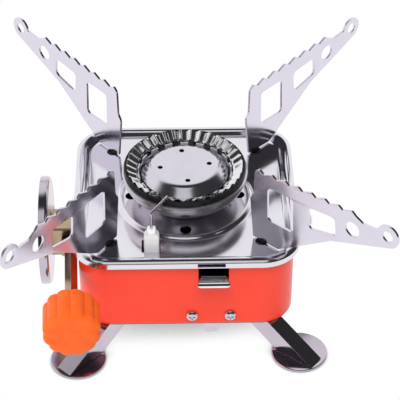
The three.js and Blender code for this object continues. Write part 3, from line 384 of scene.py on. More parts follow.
def smooth_curve(points, steps):
    """A Catmull-Rom curve through points."""
    ends = [points[0], *points, points[-1]]
    curve = []
    for i in range(1, len(points)):
        a, b, c, d = ends[i - 1:i + 3]
        for step in range(steps):
            t = step / steps
            curve.append(tuple(
                0.5 * (2 * b[k] + (c[k] - a[k]) * t + (2 * a[k] - 5 * b[k] + 4 * c[k] - d[k]) * t * t
                       + (3 * b[k] - a[k] - 3 * c[k] + d[k]) * t ** 3)
                for k in (0, 1)
            ))
    return [*curve, points[-1]]


def square_reach(half, corner, angle):
    """How far a rounded square's edge lies from its middle in the direction of an angle."""
    x, y = abs(cos(angle)), abs(sin(angle))
    reach = half / max(x, y)
    if min(x, y) * reach <= half - corner:
        return reach
    middle = half - corner
    along = middle * (x + y)
    return along + sqrt(along * along - 2 * middle * middle + corner * corner)


def square_ring(half, corner, z, sides):
    ring = []
    for i in range(sides):
        angle = 2 * pi * i / sides
        reach = square_reach(half, corner, angle)
        ring.append((reach * cos(angle), reach * sin(angle), z))
    return ring


def square_rings(half, corner, profile, sides):
    """A rounded square for each inset and height of a profile."""
    return [square_ring(half - inset, corner - inset, z, sides) for inset, z in profile]


def round_ring(radius, z, sides, start=0):
    return [(x, y, z) for x, y in arc((0, 0), radius, start, start + 360, sides)[:-1]]


def loft(rings, closed=False):
    """Vertices and faces through rings of points. An open one is closed by its end rings."""
    count = len(rings[0])
    vertices = [point for ring in rings for point in ring]
    faces = []
    for ring in range(len(rings) if closed else len(rings) - 1):
        after = (ring + 1) % len(rings)
        for i in range(count):
            j = (i + 1) % count
            faces.append((ring * count + i, ring * count + j, after * count + j, after * count + i))
    if not closed:
        last = (len(rings) - 1) * count
        faces.append(tuple(reversed(range(count))))
        faces.append(tuple(range(last, last + count)))
    return vertices, faces


def turned(profile, sides, axis="z"):
    """A body of revolution from points of radius and height, closed on itself or on the axis."""
    hollow = profile[0][0] > 0
    rings = [round_ring(max(r, AXIS_RADIUS), h, sides) for r, h in profile]
    vertices, faces = loft(rings, closed=hollow)
    turn = {"z": (0, 1, 2), "x": (2, 0, 1), "y": (1, 2, 0)}[axis]
    return [tuple(v[k] for k in turn) for v in vertices], faces


def rod(radius, start, end, sides, axis="z"):
    """A closed cylinder along an axis."""
    return turned([(0, start), (radius, start), (radius, end), (0, end)], sides, axis)


def block(low, high):
    """A closed box between two corners."""
    xs, ys, zs = zip(low, high)
    faces = [(0, 2, 3, 1), (4, 5, 7, 6), (0, 1, 5, 4), (2, 6, 7, 3), (0, 4, 6, 2), (1, 3, 7, 5)]
    return [(x, y, z) for z in zs for y in ys for x in xs], faces


def shifted(shape, offset):
    vertices, faces = shape
    return [tuple(a + b for a, b in zip(v, offset)) for v in vertices], faces


def around(shape, count, axis, start=0):
    """Copies of a shape, evenly spaced about an axis."""
    vertices, faces = shape
    copies = []
    for i in range(count):
        turn = Matrix.Rotation(radians(start + 360 * i / count), 3, axis)
        copies.append(([tuple(turn @ Vector(v)) for v in vertices], faces))
    return copies


def joined(shapes):
    """Several separate shapes as one."""
    vertices, faces = [], []
    for points, polygons in shapes:
        start = len(vertices)
        vertices.extend(points)
        faces.extend(tuple(i + start for i in polygon) for polygon in polygons)
    return vertices, faces


def link(name, data):
    """An object in the scene that shows a mesh, a curve, a lamp or the camera."""
    item = bpy.data.objects.new(name, data)
    bpy.context.scene.collection.objects.link(item)
    return item


def cleaned(mesh, flatten=False):
    """A mesh with its doubled points merged, its faces turned out and, if asked, flat faces joined."""
    shell = bmesh.new()
    shell.from_mesh(mesh)
    bmesh.ops.remove_doubles(shell, verts=shell.verts, dist=WELD * MM)
    bmesh.ops.recalc_face_normals(shell, faces=shell.faces)
    if flatten:
        limit = radians(FLAT_DEGREES)
        bmesh.ops.dissolve_limit(shell, angle_limit=limit, verts=shell.verts, edges=shell.edges)
    shell.to_mesh(mesh)
    shell.free()
    return mesh


def mesh_object(name, shape):
    """A mesh object from vertices in millimetres, with its faces pointing out."""
    vertices, faces = shape
    mesh = bpy.data.meshes.new(name)
    mesh.from_pydata([tuple(c * MM for c in v) for v in vertices], [], faces)
    return link(name, cleaned(mesh))


def shown_mesh(item):
    """The mesh that an object shows, with its modifiers applied."""
    bpy.context.view_layer.update()
    graph = bpy.context.evaluated_depsgraph_get()
    return bpy.data.meshes.new_from_object(item.evaluated_get(graph))


def apply_modifiers(item):
    mesh = shown_mesh(item)
    item.modifiers.clear()
    item.data = mesh


def curve_mesh(name, lines, closed, **settings):
    """The mesh of a curve with settings of its own, through lines of points in millimetres."""
    curve = bpy.data.curves.new(name, "CURVE")
    for setting, value in settings.items():
        setattr(curve, setting, value)
    for points in lines:
        spline = curve.splines.new("POLY")
        spline.points.add(len(points) - 1)
        for spot, point in zip(spline.points, points):
            spot.co = (*[c * MM for c in point], 1)
        spline.use_cyclic_u = closed
    holder = link(f"{name}_curve", curve)
    mesh = shown_mesh(holder)
    bpy.data.objects.remove(holder)
    return mesh


def plate(name, outline, holes, thickness, edge):
    """A flat plate in X and Y with rounded edges, centred on its thickness."""
    lines = [[(x, y, 0) for x, y in points] for points in (outline, *holes)]
    mesh = curve_mesh(
        name, lines, True, dimensions="2D", fill_mode="BOTH", extrude=(thickness / 2 - edge) * MM,
        bevel_depth=edge * MM, bevel_resolution=1, offset=-edge * MM,
    )
    return link(name, cleaned(mesh))


def carve(item, shapes, operation="DIFFERENCE"):
    """Cuts closed shapes out of an object, or joins them to it."""
    for i, shape in enumerate(shapes):
        tool = mesh_object(f"{item.name}_tool_{i}", shape)
        cutter = item.modifiers.new("cut", "BOOLEAN")
        cutter.operation = operation
        cutter.solver = "EXACT"
        cutter.object = tool
        apply_modifiers(item)
        bpy.data.objects.remove(tool)


def soften(item, piece, angle=50):
    """Rounds an object's edges a little, so that they catch the light."""
    width, segments = SOFT_EDGES[piece]
    rounder = item.modifiers.new("edges", "BEVEL")
    rounder.width = width * MM
    rounder.segments = segments
    rounder.limit_method = "ANGLE"
    rounder.angle_limit = radians(angle)
    rounder.use_clamp_overlap = True
    rounder.harden_normals = False
    apply_modifiers(item)


def shade(item, angle):
    """Smooth shading in which the large faces keep their flatness."""
    item.data.shade_smooth()
    item.data.set_sharp_from_angle(angle=radians(angle))
    normals = item.modifiers.new("normals", "WEIGHTED_NORMAL")
    normals.keep_sharp = True
    normals.weight = 80
    apply_modifiers(item)


def copy_of(node, name, piece):
    """A node's own form with softened edges."""
    mesh = cleaned(frame["nodes"][node].data.copy(), flatten=True)
    mesh.materials.clear()
    item = link(name, mesh)
    soften(item, piece, angle=25)
    return item


def finish_piece(item, material, body, node, angle=32):
    """Shades a piece, gives it its material, and lets it stand for a node on a body."""
    shade(item, angle)
    item.data.materials.clear()
    item.data.materials.append(material)
    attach(item, body)
    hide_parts(node)


def paint_faces(item, material, chosen):
    """Gives a second material to the faces whose middles a test chooses."""
    item.data.materials.append(material)
    for face in item.data.polygons:
        if chosen(*face.center / MM):
            face.material_index = 1


def moved(x, y, z):
    """A move in millimetres."""
    return Matrix.Translation(Vector((x, y, z)) * MM)


def upright():
    """Stands a plate up, with its thickness along Y."""
    return Matrix.Rotation(pi / 2, 4, "X")


def valve_matrix(lean=0.0):
    return moved(*VALVE_PLACE) @ Matrix.Rotation(radians(lean), 4, "Z")


def at_corner(corner, pivot, z=0):
    """A pivot's place at a corner, from its place at the rear right one."""
    x, y = CORNERS[corner]
    return (x * pivot[0], y * pivot[1], z)


def arm_matrix(corner):
    turn = Matrix.Rotation(radians(ARM_DEGREES[corner]), 4, "Z")
    return moved(*at_corner(corner, ARM_PIVOT, FLOOR_TOP)) @ turn


def leg_matrix(corner):
    turn = Matrix.Rotation(radians(LEG_DEGREES[corner]), 4, "Z")
    return moved(*at_corner(corner, LEG_PIVOT)) @ turn


def add_node(tree, kind, inputs, **settings):
    """Adds a shader node. Each of its inputs is a value or another node's output."""
    node = tree.nodes.new(f"ShaderNode{kind}")
    for setting, value in settings.items():
        setattr(node, setting, value)
    for socket, value in inputs.items():
        if isinstance(value, bpy.types.NodeSocket):
            tree.links.new(value, node.inputs[socket])
        else:
            node.inputs[socket].default_value = value
    return node


def map_range(tree, value, before, after, shape="SMOOTHSTEP"):
    """Maps a value from one range to another."""
    node = add_node(tree, "MapRange", {
        "Value": value,
        "From Min": before[0],
        "From Max": before[1],
        "To Min": after[0],
        "To Max": after[1],
    }, interpolation_type=shape)
    return node.outputs["Result"]


def calculate(tree, operation, *values):
    return add_node(tree, "Math", dict(enumerate(values)), operation=operation).outputs["Value"]


def mix(tree, factor, first, second, kind="FLOAT"):
    node = add_node(tree, "Mix", {"Factor": factor, "A": first, "B": second}, data_type=kind)
    return node.outputs["Result"]


def surface(name, colours, drift, gloss, grain=None, metallic=0.0, levels=None):
    """A procedural material, with the sizes of its noises in millimetres.

    Its tone drifts between two colours over a size. gloss is its lowest and highest roughness and
    their noise's size and stretch, grain is a bump's depth, size and stretch, and levels are other
    sockets of the shader.
    """
    material = bpy.data.materials.new(name)
    material.use_nodes = True
    tree = material.node_tree
    place = tree.nodes.new("ShaderNodeTexCoord").outputs["Object"]
    inputs = tree.nodes["Principled BSDF"].inputs

    def noise(size, stretch=EVEN):
        scale = [1 / (size * MM * s) for s in stretch]
        spot = add_node(tree, "Mapping", {"Vector": place, "Scale": scale}).outputs["Vector"]
        cloud = add_node(tree, "TexNoise", {"Vector": spot, "Scale": 1.0, "Detail": NOISE_DETAIL})
        return cloud.outputs["Fac"]

    first, second = ((*colour, 1) for colour in colours)
    tone = map_range(tree, noise(drift), NOISE_RANGE, (0, 1), "LINEAR")
    tree.links.new(mix(tree, tone, first, second, "RGBA"), inputs["Base Color"])
    if gloss:
        low, high, *shape = gloss
        rough = map_range(tree, noise(*shape), NOISE_RANGE, (low, high), "LINEAR")
        tree.links.new(rough, inputs["Roughness"])
    if grain:
        depth, *shape = grain
        bump = add_node(tree, "Bump", {"Strength": 1.0, "Distance": depth * MM, "Height": noise(*shape)})
        tree.links.new(bump.outputs["Normal"], inputs["Normal"])
    for socket, value in {"Metallic": metallic, **(levels or {})}.items():
        inputs[socket].default_value = value
    return material


def steel(name, light, dark, roughness, depth, metallic=1.0):
    """Polished sheet with a faint drift of tone and fine drawn marks along X."""
    gloss = [roughness * share for share in STEEL_GLOSS_SHARES]
    return surface(
        name, (light, dark), STEEL_DRIFT, (*gloss, *STEEL_GLOSS_NOISE), (depth, *STEEL_MARKS), metallic,
    )


def make_materials():
    made = {}
    made["painted_body"] = surface(
        "red_paint", ((1.0, 0.052, 0.016), (0.97, 0.047, 0.014)), 12.0, (0.28, 0.33, 4.0), (0.0006, 1.4),
        levels={"Coat Weight": 0.15, "Coat Roughness": 0.06, "Specular IOR Level": 0.4},
    )
    # Painted shade: a near-black maroon for the pan's inside faces, standing for the shade inside the closed
    # body
    made["pan_inside"] = surface(
        "pan_inside", ((0.10, 0.010, 0.010), (0.05, 0.007, 0.007)), 2.0, (0.5, 0.7, 1.2),
        levels={"Specular IOR Level": 0.2},
    )
    made["polished_steel"] = steel("tray_steel", (0.80, 0.78, 0.84), (0.76, 0.74, 0.80), 0.12, 0.0002)
    made["arm_steel"] = steel("arm_steel", (0.76, 0.72, 0.82), (0.73, 0.69, 0.79), 0.17, 0.0001)
    # Painted shade: the legs' and feet's steel is a darker copy of the stove's steel, standing for the
    # darker reflections they show
    made["leg_steel"] = steel("leg_steel", (0.62, 0.55, 0.63), (0.56, 0.50, 0.58), 0.12, 0.0004)
    made["crown_steel"] = steel("crown_steel", (0.86, 0.86, 0.88), (0.78, 0.78, 0.81), 0.14, 0.001)
    made["cap_steel"] = steel("cap_steel", (0.72, 0.69, 0.77), (0.66, 0.64, 0.72), 0.18, 0.0006)
    made["bowl_steel"] = steel("bowl_steel", (0.76, 0.72, 0.76), (0.69, 0.65, 0.69), 0.24, 0.0006, 0.9)
    # Painted shade: the collar's steel is a darker copy of the stove's steel, standing for the darker
    # reflections it shows
    made["collar_steel"] = steel("collar_steel", (0.60, 0.56, 0.63), (0.54, 0.50, 0.57), 0.16, 0.0006)
    made["port_steel"] = surface(
        "port_steel", ((0.62, 0.59, 0.66), (0.50, 0.48, 0.53)), 2.0, (0.35, 0.45, 1.2), metallic=0.25,
    )
    made["heated_band"] = surface(
        "heated_band", ((0.004, 0.004, 0.005), (0.012, 0.011, 0.013)), 3.0, (0.26, 0.45, 1.5),
        (0.002, 0.8), levels={"Specular IOR Level": 0.25},
    )
    made["dark_steel"] = surface(
        "dark_steel", ((0.022, 0.022, 0.026), (0.05, 0.05, 0.055)), 2.0, (0.3, 0.55, 1.2), metallic=0.8,
    )
    made["brass"] = surface(
        "machined_brass", ((0.52, 0.41, 0.29), (0.46, 0.34, 0.22)), 6.0, (0.19, 0.26, 2.0, (1, 5, 1)),
        (0.0002, 0.35, (1, 9, 1)), 1.0,
    )
    made["chromed_lever"] = surface(
        "chromed_lever", ((0.88, 0.88, 0.90), (0.80, 0.80, 0.83)), 4.0, (0.03, 0.1, 1.5), metallic=1.0,
    )
    made["zinc_plate"] = surface(
        "zinc_plate", ((0.68, 0.63, 0.70), (0.62, 0.58, 0.65)), 3.0, (0.20, 0.27, 1.8), metallic=1.0,
    )
    made["black_rubber"] = surface(
        "black_rubber", ((0.010, 0.010, 0.011), (0.022, 0.022, 0.023)), 0.8, None, (0.01, 0.3),
        levels={"Roughness": 0.8},
    )
    made["orange_plastic"] = surface(
        "orange_plastic", ((0.97, 0.145, 0.012), (0.92, 0.12, 0.008)), 4.0, (0.36, 0.5, 0.8), (0.008, 0.35),
        levels={"Subsurface Weight": 0.08, "Subsurface Scale": 0.002, "Specular IOR Level": 0.3},
    )
    made["black_plastic"] = surface(
        "black_plastic", ((0.012, 0.012, 0.014), (0.024, 0.024, 0.026)), 2.0, (0.4, 0.6, 1.0),
    )
    made["white_ceramic"] = surface(
        "white_ceramic", ((0.98, 0.97, 0.97), (0.94, 0.92, 0.94)), 2.5, (0.12, 0.3, 1.0),
        levels={"Coat Weight": 0.5, "Coat Roughness": 0.05},
    )
    made["lead_sleeve"] = surface(
        "lead_sleeve", ((0.66, 0.62, 0.56), (0.55, 0.51, 0.45)), 1.5, (0.4, 0.6, 0.7),
    )
    return made


def add_camera():
    elevation, heading = radians(CAMERA_ELEVATION), radians(CAMERA_HEADING)
    target = Vector((0, 0, CAMERA_TARGET_Z))
    back = Vector((cos(elevation) * sin(heading), -cos(elevation) * cos(heading), sin(elevation)))
    right = Vector((cos(heading), sin(heading), 0))
    up = back.cross(right)
    place = target + back * CAMERA_DISTANCE
    pixel = CAMERA_DISTANCE * SENSOR_WIDTH / (CAMERA_LENS * FRAME_PIXELS)
    aim = target + right * AIM_RIGHT_PIXELS * pixel - up * AIM_DOWN_PIXELS * pixel
    data = bpy.data.cameras.new("camera")
    data.lens = CAMERA_LENS
    data.sensor_width = SENSOR_WIDTH
    data.clip_start, data.clip_end = (clip * MM for clip in CAMERA_CLIP)
    camera = link("camera", data)
    camera.location = place * MM
    camera.rotation_mode = "QUATERNION"
    camera.rotation_quaternion = (aim - place).to_track_quat("-Z", "Y")
    bpy.context.scene.camera = camera


def add_world():
    """White to the camera, and to glossy rays a dark room above the camera with a patch in it."""
    world = bpy.data.worlds.new("studio")
    bpy.context.scene.world = world
    world.use_nodes = True
    tree = world.node_tree
    ray = tree.nodes.new("ShaderNodeLightPath").outputs
    direction = tree.nodes.new("ShaderNodeTexCoord").outputs["Generated"]
    axis = Vector(DARK_AXIS).normalized()
    towards = add_node(tree, "VectorMath", {0: direction, 1: axis}, operation="DOT_PRODUCT")
    room = map_range(tree, towards.outputs["Value"], DARK_RANGE, (1.0, DARK_LEVEL))
    axes = add_node(tree, "SeparateXYZ", {"Vector": direction}).outputs
    inside = calculate(tree, "GREATER_THAN", axes["Z"], 0.0)
    edge = (PATCH_HALF + PATCH_EDGE, PATCH_HALF - PATCH_EDGE)
    for name, centre in zip("XY", PATCH_CENTRE):
        offset = calculate(tree, "ABSOLUTE", calculate(tree, "SUBTRACT", axes[name], centre))
        inside = calculate(tree, "MULTIPLY", inside, map_range(tree, offset, edge, (0.0, 1.0)))
    lit = mix(tree, inside, room, PATCH_LEVEL)
    level = mix(tree, ray["Is Glossy Ray"], WORLD_LEVEL, lit)
    for kind in ("Is Transmission Ray", "Is Camera Ray"):
        level = mix(tree, ray[kind], level, 1.0)
    background = tree.nodes["Background"].inputs
    background["Color"].default_value = (1, 1, 1, 1)
    tree.links.new(level, background["Strength"])


def add_floor():
    """A white floor that keeps the object's soft shadow, and that metal sees as the camera does."""
    corners = [
        (x * FLOOR_HALF, y * FLOOR_HALF, -STAND_HEIGHT)
        for x, y in ((-1, -1), (1, -1), (1, 1), (-1, 1))
    ]
    floor = mesh_object("floor", (corners, [(0, 1, 2, 3)]))
    material = bpy.data.materials.new("white_floor")
    material.use_nodes = True
    tree = material.node_tree
    tree.nodes.clear()
    ray = tree.nodes.new("ShaderNodeLightPath").outputs
    seen = calculate(tree, "MAXIMUM", ray["Is Camera Ray"], ray["Is Glossy Ray"])
    shades = []
    for reach, hidden, darkest in SHADOWS:
        near = add_node(tree, "AmbientOcclusion", {"Distance": reach * MM}, samples=SHADOW_SAMPLES)
        shades.append(map_range(tree, near.outputs["AO"], hidden, (darkest, 1.0)))
    level = calculate(tree, "MULTIPLY", *shades)
    cover = add_node(tree, "BsdfDiffuse", {"Color": (FLOOR_WHITE, FLOOR_WHITE, FLOOR_WHITE, 1)})
    glow = add_node(tree, "Emission", {"Strength": level})
    sides = {"Fac": seen, 1: cover.outputs["BSDF"], 2: glow.outputs["Emission"]}
    both = add_node(tree, "MixShader", sides)
    add_node(tree, "OutputMaterial", {"Surface": both.outputs["Shader"]})
    floor.data.materials.append(material)


def add_lamps():
    """Soft rectangular lamps, which the metal doesn't reflect."""
    for name, (place, target, size, power) in LAMPS.items():
        data = bpy.data.lights.new(name, "AREA")
        data.shape = "RECTANGLE"
        data.size, data.size_y = (side * MM for side in size)
        data.energy = power
        lamp = link(name, data)
        lamp.location = Vector(place) * MM
        lamp.rotation_mode = "QUATERNION"
        lamp.rotation_quaternion = (Vector(target) - Vector(place)).to_track_quat("-Z", "Y")
        lamp.visible_glossy = False


def stiffener(base, level):
    """The shallow bead pressed up into the bottom, above a level."""
    half = STIFFENER_WIDTH / 2
    crest = level + STIFFENER_RISE
    return turned([
        (STIFFENER_RADIUS - half, base), (STIFFENER_RADIUS + half, base),
        (STIFFENER_RADIUS + half, level), (STIFFENER_RADIUS + half / 2, crest),
        (STIFFENER_RADIUS - half / 2, crest), (STIFFENER_RADIUS - half, level),
    ], RING_SIDES)


def body_tools():
    """What is cut out of the body: windows for the lever and the valve, holes, a slot and a groove."""
    outside, inside = -BODY_HALF - OVERRUN, -BODY_HALF + BODY_SHEET + OVERRUN
    half = LEVER_HALF + WINDOW_SIDE
    tools = [block((LEVER_X - half, outside, LEVER_Z - LEVER_TRAVEL - GAP),
                   (LEVER_X + half, inside, BODY_HEIGHT + OVERRUN))]
    low, high = (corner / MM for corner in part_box("valve_body"))
    nut_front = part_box("packing_nut")[0].y / MM
    tools.append(block((outside, nut_front - GAP, low.z - GAP), (inside, high.y + 2 * GAP, high.z + GAP)))
    screw_hole = rod(SCREW_HOLE_RADIUS, outside, inside, SMALL_HOLE_SIDES, "y")
    tools += [shifted(screw_hole, (IGNITER_X + side * SCREW_SPREAD, 0, SCREW_Z)) for side in (-1, 1)]
    rivet_hole = rod(RIVET_HOLE_RADIUS, -OVERRUN, BODY_SHEET + OVERRUN, SMALL_HOLE_SIDES)
    tools += [shifted(rivet_hole, at_corner(corner, LEG_PIVOT)) for corner in CORNERS]
    tools.append(block((IGNITER_X - TONGUE_HALF - GAP, TONGUE_SLOT[0], -OVERRUN),
                       (IGNITER_X + TONGUE_HALF + GAP, TONGUE_SLOT[1], BODY_EDGE)))
    return [*tools, stiffener(-OVERRUN, 0)]


def make_body(made):
    centre = (BODY_EDGE, BODY_EDGE)
    profile = [
        *arc(centre, BODY_EDGE, 270, 180, 10),
        (0, BODY_HEIGHT),
        (BODY_SHEET, BODY_HEIGHT),
        *arc(centre, BODY_EDGE - BODY_SHEET, 180, 270, 10),
    ]
    pan = mesh_object("painted_pan", loft(square_rings(BODY_HALF, BODY_CORNER, profile, BODY_SIDES)))
    carve(pan, [stiffener(BODY_SHEET / 2, BODY_SHEET)], "UNION")
    carve(pan, body_tools())
    soften(pan, "body_shell")
    finish_piece(pan, made["painted_body"], "body", "body_shell")

    def lies_inside(x, y, z):
        depth = square_reach(BODY_HALF, BODY_CORNER, atan2(y, x)) - hypot(x, y)
        return z > BODY_SHEET / 2 and depth > BODY_SHEET / 2

    # The faces inside the pan get the near-black painted shade
    paint_faces(pan, made["pan_inside"], lies_inside)


def tray_profile():
    """The tray's closed section as insets from its edge and heights, out to the boss's foot."""
    bead = (BEAD_RADIUS, BEAD_Z)
    half = sqrt(0.5)
    crest_radius = (BEAD_RADIUS - BEAD_SHOULDER * (1 - half)) / half
    crest = (BEAD_RADIUS, BEAD_Z + BEAD_RADIUS - crest_radius)
    shoulder = (BEAD_SHOULDER, crest[1] + (crest_radius - BEAD_SHOULDER) * half)
    tilt = radians(RIM_TILT)
    top, foot = BEAD_Z + BEAD_RADIUS * cos(tilt), FLOOR_TOP + TRAY_FILLET * (1 - cos(tilt))
    slope_run = (top - foot) / tan(tilt)
    fillet = (BEAD_RADIUS + (BEAD_RADIUS + TRAY_FILLET) * sin(tilt) + slope_run, FLOOR_TOP + TRAY_FILLET)
    upper = [
        (0, BEAD_Z - SKIRT_DROP),
        *arc(shoulder, BEAD_SHOULDER, 180, 135, 8),
        *arc(crest, crest_radius, 135, 90, 12)[1:],
        *arc(bead, BEAD_RADIUS, 90, 90 - RIM_TILT, 10)[1:],
        *arc(fillet, TRAY_FILLET, 270 - RIM_TILT, 270, 8),
    ]
    lower = [
        *arc(fillet, TRAY_FILLET + TRAY_SHEET, 270, 270 - RIM_TILT, 8),
        *arc(bead, BEAD_RADIUS - TRAY_SHEET, 90 - RIM_TILT, 180, 14),
        (TRAY_SHEET, BEAD_Z - SKIRT_DROP),
    ]
    return upper, lower


def boss_ring(radius, z, sides):
    """A ring about the boss's middle."""
    return [(x, y + BOSS_SHIFT, z) for x, y, z in round_ring(radius, z, sides)]


def tray_tools():
    """What is cut out of the tray: air holes, holes for the arms' pins, and two slots."""
    air_hole = rod(AIR_HOLE_RADIUS, FLOOR_TOP - OVERRUN, BOSS_TOP + OVERRUN, HOLE_SIDES)
    pin_hole = rod(PIN_RADIUS + GAP, FLOOR_TOP - OVERRUN, FLOOR_TOP + OVERRUN, HOLE_SIDES)
    (left, right), (front, back) = INSULATOR_SLOT
    half = SKIRT_SLOT_LENGTH / 2
    low = BEAD_Z - SKIRT_DROP / 2
    return [
        *[shifted(air_hole, place) for place in boss_ring(AIR_HOLE_REACH, 0, AIR_HOLES)],
        *[shifted(pin_hole, at_corner(corner, ARM_PIVOT)) for corner in CORNERS],
        block((left, front, FLOOR_TOP - OVERRUN), (right, back, BOSS_TOP + OVERRUN)),
        block((IGNITER_X - half, -TRAY_HALF - OVERRUN, low),
              (IGNITER_X + half, -TRAY_HALF + SKIRT_SLOT_DEPTH, low + SKIRT_SLOT_HEIGHT)),
    ]


def make_tray(made):
    upper, lower = tray_profile()
    boss = rounded_line([
        (BOSS_RADIUS + BOSS_MARGIN, FLOOR_TOP),
        (BOSS_RADIUS, FLOOR_TOP),
        (BOSS_RADIUS - BOSS_DRAFT, BOSS_TOP),
        (BOSS_RADIUS - BOSS_DRAFT - BOSS_MARGIN, BOSS_TOP),
    ], BOSS_ROUNDING, 4)
    mouth = TUBE_RADIUS + GAP
    rings = [
        *square_rings(TRAY_HALF, TRAY_CORNER, upper, TRAY_SIDES),
        *[boss_ring(r, z, TRAY_SIDES) for r, z in boss],
        round_ring(mouth, BOSS_TOP, TRAY_SIDES),
        round_ring(mouth, BOSS_TOP - TRAY_SHEET, TRAY_SIDES),
        *[boss_ring(r - TRAY_SHEET, z - TRAY_SHEET, TRAY_SIDES) for r, z in reversed(boss)],
        *square_rings(TRAY_HALF, TRAY_CORNER, lower, TRAY_SIDES),
    ]
    tray = mesh_object("tray_skin", loft(rings, closed=True))
    carve(tray, tray_tools())
    soften(tray, "tray")
    finish_piece(tray, made["polished_steel"], "body", "tray")


def make_bowl(made):
    outer = smooth_curve([(r * BOWL_RADIUS, BOWL_BOTTOM + h * BOWL_HEIGHT) for r, h in BOWL_SHARES], 6)
    line = rounded_line([(TUBE_RADIUS + GAP, BOWL_BOTTOM), *outer], BOWL_ROUNDING, 2)
    bowl = mesh_object("burner_bowl_skin", turned(sheet_outline(line, BOWL_SHEET), TURNED_SIDES))
    soften(bowl, "burner_bowl")
    finish_piece(bowl, made["bowl_steel"], "body", "burner_bowl")


def make_band(made):
    line = [(BAND_RADIUS, BAND_BOTTOM), (BAND_TOP_RADIUS, BAND_TOP)]
    band = mesh_object("burner_band", turned(sheet_outline(line, BAND_SHEET), TURNED_SIDES))
    soften(band, "burner_ring")
    finish_piece(band, made["heated_band"], "body", "burner_ring")


def make_crown(made):
    """The crown's folded pleats, which fall towards the burner's middle."""
    outer = BAND_TOP_RADIUS - BAND_SHEET - GAP
    inner = PORT_RADIUS + GAP
    count = CROWN_PLEATS * CROWN_PLEAT_STEPS

    def ring(share, drop):
        radius = inner + (outer - inner) * share
        z = BAND_TOP + CROWN_RISE - CROWN_DIP * (1 - share) ** CROWN_DIP_POWER - drop
        points = []
        for i in range(count):
            angle = 2 * pi * i / count
            fold = asin(CROWN_CREASE * sin(CROWN_PLEATS * angle)) / asin(CROWN_CREASE)
            points.append((radius * cos(angle), radius * sin(angle), z + CROWN_WAVE * fold * radius / outer))
        return points

    top = [ring(share, 0) for share in CROWN_SHARES]
    underside = [ring(share, CROWN_SHEET) for share in reversed(CROWN_SHARES)]
    crown = mesh_object("pleated_crown", loft([*top, *underside], closed=True))
    soften(crown, "burner_crown", angle=60)
    finish_piece(crown, made["crown_steel"], "body", "burner_crown", angle=50)


def make_ports(made):
    """The slotted cup, with painted shade inside it and below its slots."""
    top = PORT_BOTTOM + PORT_HEIGHT
    corners = [(PORT_MOUTH, PORT_BOTTOM), (PORT_RADIUS, PORT_BOTTOM), (PORT_RADIUS, top)]
    line = rounded_line(corners, PORT_ROUNDING, 3)
    ports = mesh_object("port_cup", turned(sheet_outline(line, PORT_SHEET), TURNED_SIDES))
    slot = block((PORT_RADIUS - OVERRUN, -PORT_SLOT_WIDTH / 2, top - PORT_SLOT_DEPTH),
                 (PORT_RADIUS + OVERRUN, PORT_SLOT_WIDTH / 2, top + OVERRUN))
    carve(ports, [joined(around(slot, PORT_SLOTS, "Z"))])
    soften(ports, "port_ring")
    finish_piece(ports, made["port_steel"], "body", "port_ring")

    def in_painted_shade(x, y, z):
        return hypot(x, y) < PORT_RADIUS - PORT_SHEET - PORT_SHEET / 2 or z < top - PORT_SLOT_DEPTH

    # Painted shade: the cup's inside and its wall below the slots get the near-black dark_steel
    paint_faces(ports, made["dark_steel"], in_painted_shade)


def make_cap(made):
    corners = [(0, CAP_TOP), (CAP_FLAT_RADIUS, CAP_TOP), (CAP_RADIUS, CAP_TOP - CAP_HEIGHT)]
    line = rounded_line(corners, CAP_ROUNDING, 8)
    cap = mesh_object("pressed_cap", turned(sheet_outline(line, -CAP_SHEET), TURNED_SIDES))
    hole = rod(CAP_HOLE_RADIUS, CAP_TOP - OVERRUN, CAP_TOP + OVERRUN, SMALL_HOLE_SIDES)
    places = round_ring(CAP_HOLE_REACH, 0, CAP_HOLES, CAP_HOLE_DEGREES)
    carve(cap, [shifted(hole, place) for place in places])
    soften(cap, "burner_cap")
    finish_piece(cap, made["cap_steel"], "body", "burner_cap")


def arm_point(shares):
    return shares[0] * ARM_LENGTH, ARM_LIFT + shares[1] * ARM_HEIGHT


def arm_tooth_line():
    first, last = arm_point(ARM_FIRST_TOOTH_SHARES), arm_point(ARM_LAST_TOOTH_SHARES)

    def along(teeth):
        return tuple(a + (b - a) * teeth / (ARM_TEETH - 1) for a, b in zip(first, last))

    line = []
    for tooth in range(ARM_TEETH - 1):
        line.append(along(tooth))
        for share in ARM_VALLEY_SHARES:
            u, v = along(tooth + share)
            line.append((u, v - ARM_TOOTH_DEPTH))
    return [*line, along(ARM_TEETH - 1)]


def arm_shape():
    """The arm's outline and its windows and holes."""
    centre = arm_point(ARM_HOOK_SHARES)
    hook = arc(centre, ARM_HOOK_RADIUS, ARM_HOOK_START, ARM_HOOK_END, 32)
    line = [
        hook[-1],
        *map(arm_point, ARM_NECK_SHARES),
        *arm_tooth_line(),
        *map(arm_point, ARM_ROOT_SHARES),
        (-STEM_WIDTH / 2, ARM_LIFT),
        (-STEM_WIDTH / 2, -STEM_LENGTH),
        (STEM_WIDTH / 2, -STEM_LENGTH),
        (STEM_WIDTH / 2, ARM_LIFT),
        *map(arm_point, ARM_LOWER_SHARES),
        hook[0],
    ]
    outline = [*hook[1:-1], *rounded_line(line, ARM_TOOTH_ROUNDING, 3)]
    holes = [
        rounded_outline([arm_point(p) for p in shares], ARM_WINDOW_ROUNDING, 6)
        for shares in (ARM_INNER_WINDOW_SHARES, ARM_OUTER_WINDOW_SHARES)
    ]
    holes.append(arc(centre, ARM_HOOK_HOLE, 0, 360, 36)[:-1])
    holes.append(arc(arm_point(ARM_SLOT_HOLE_SHARES), ARM_SLOT_HOLE, 0, 360, 40)[:-1])
    return outline, holes


def make_arms(made):
    outline, holes = arm_shape()
    for name in CORNERS:
        arm = plate(f"toothed_arm_{name}", outline, holes, ARM_SHEET, ARM_EDGE)
        arm.matrix_world = arm_matrix(name) @ upright()
        finish_piece(arm, made["arm_steel"], f"{name}_arm", f"arm_{name}", angle=25)


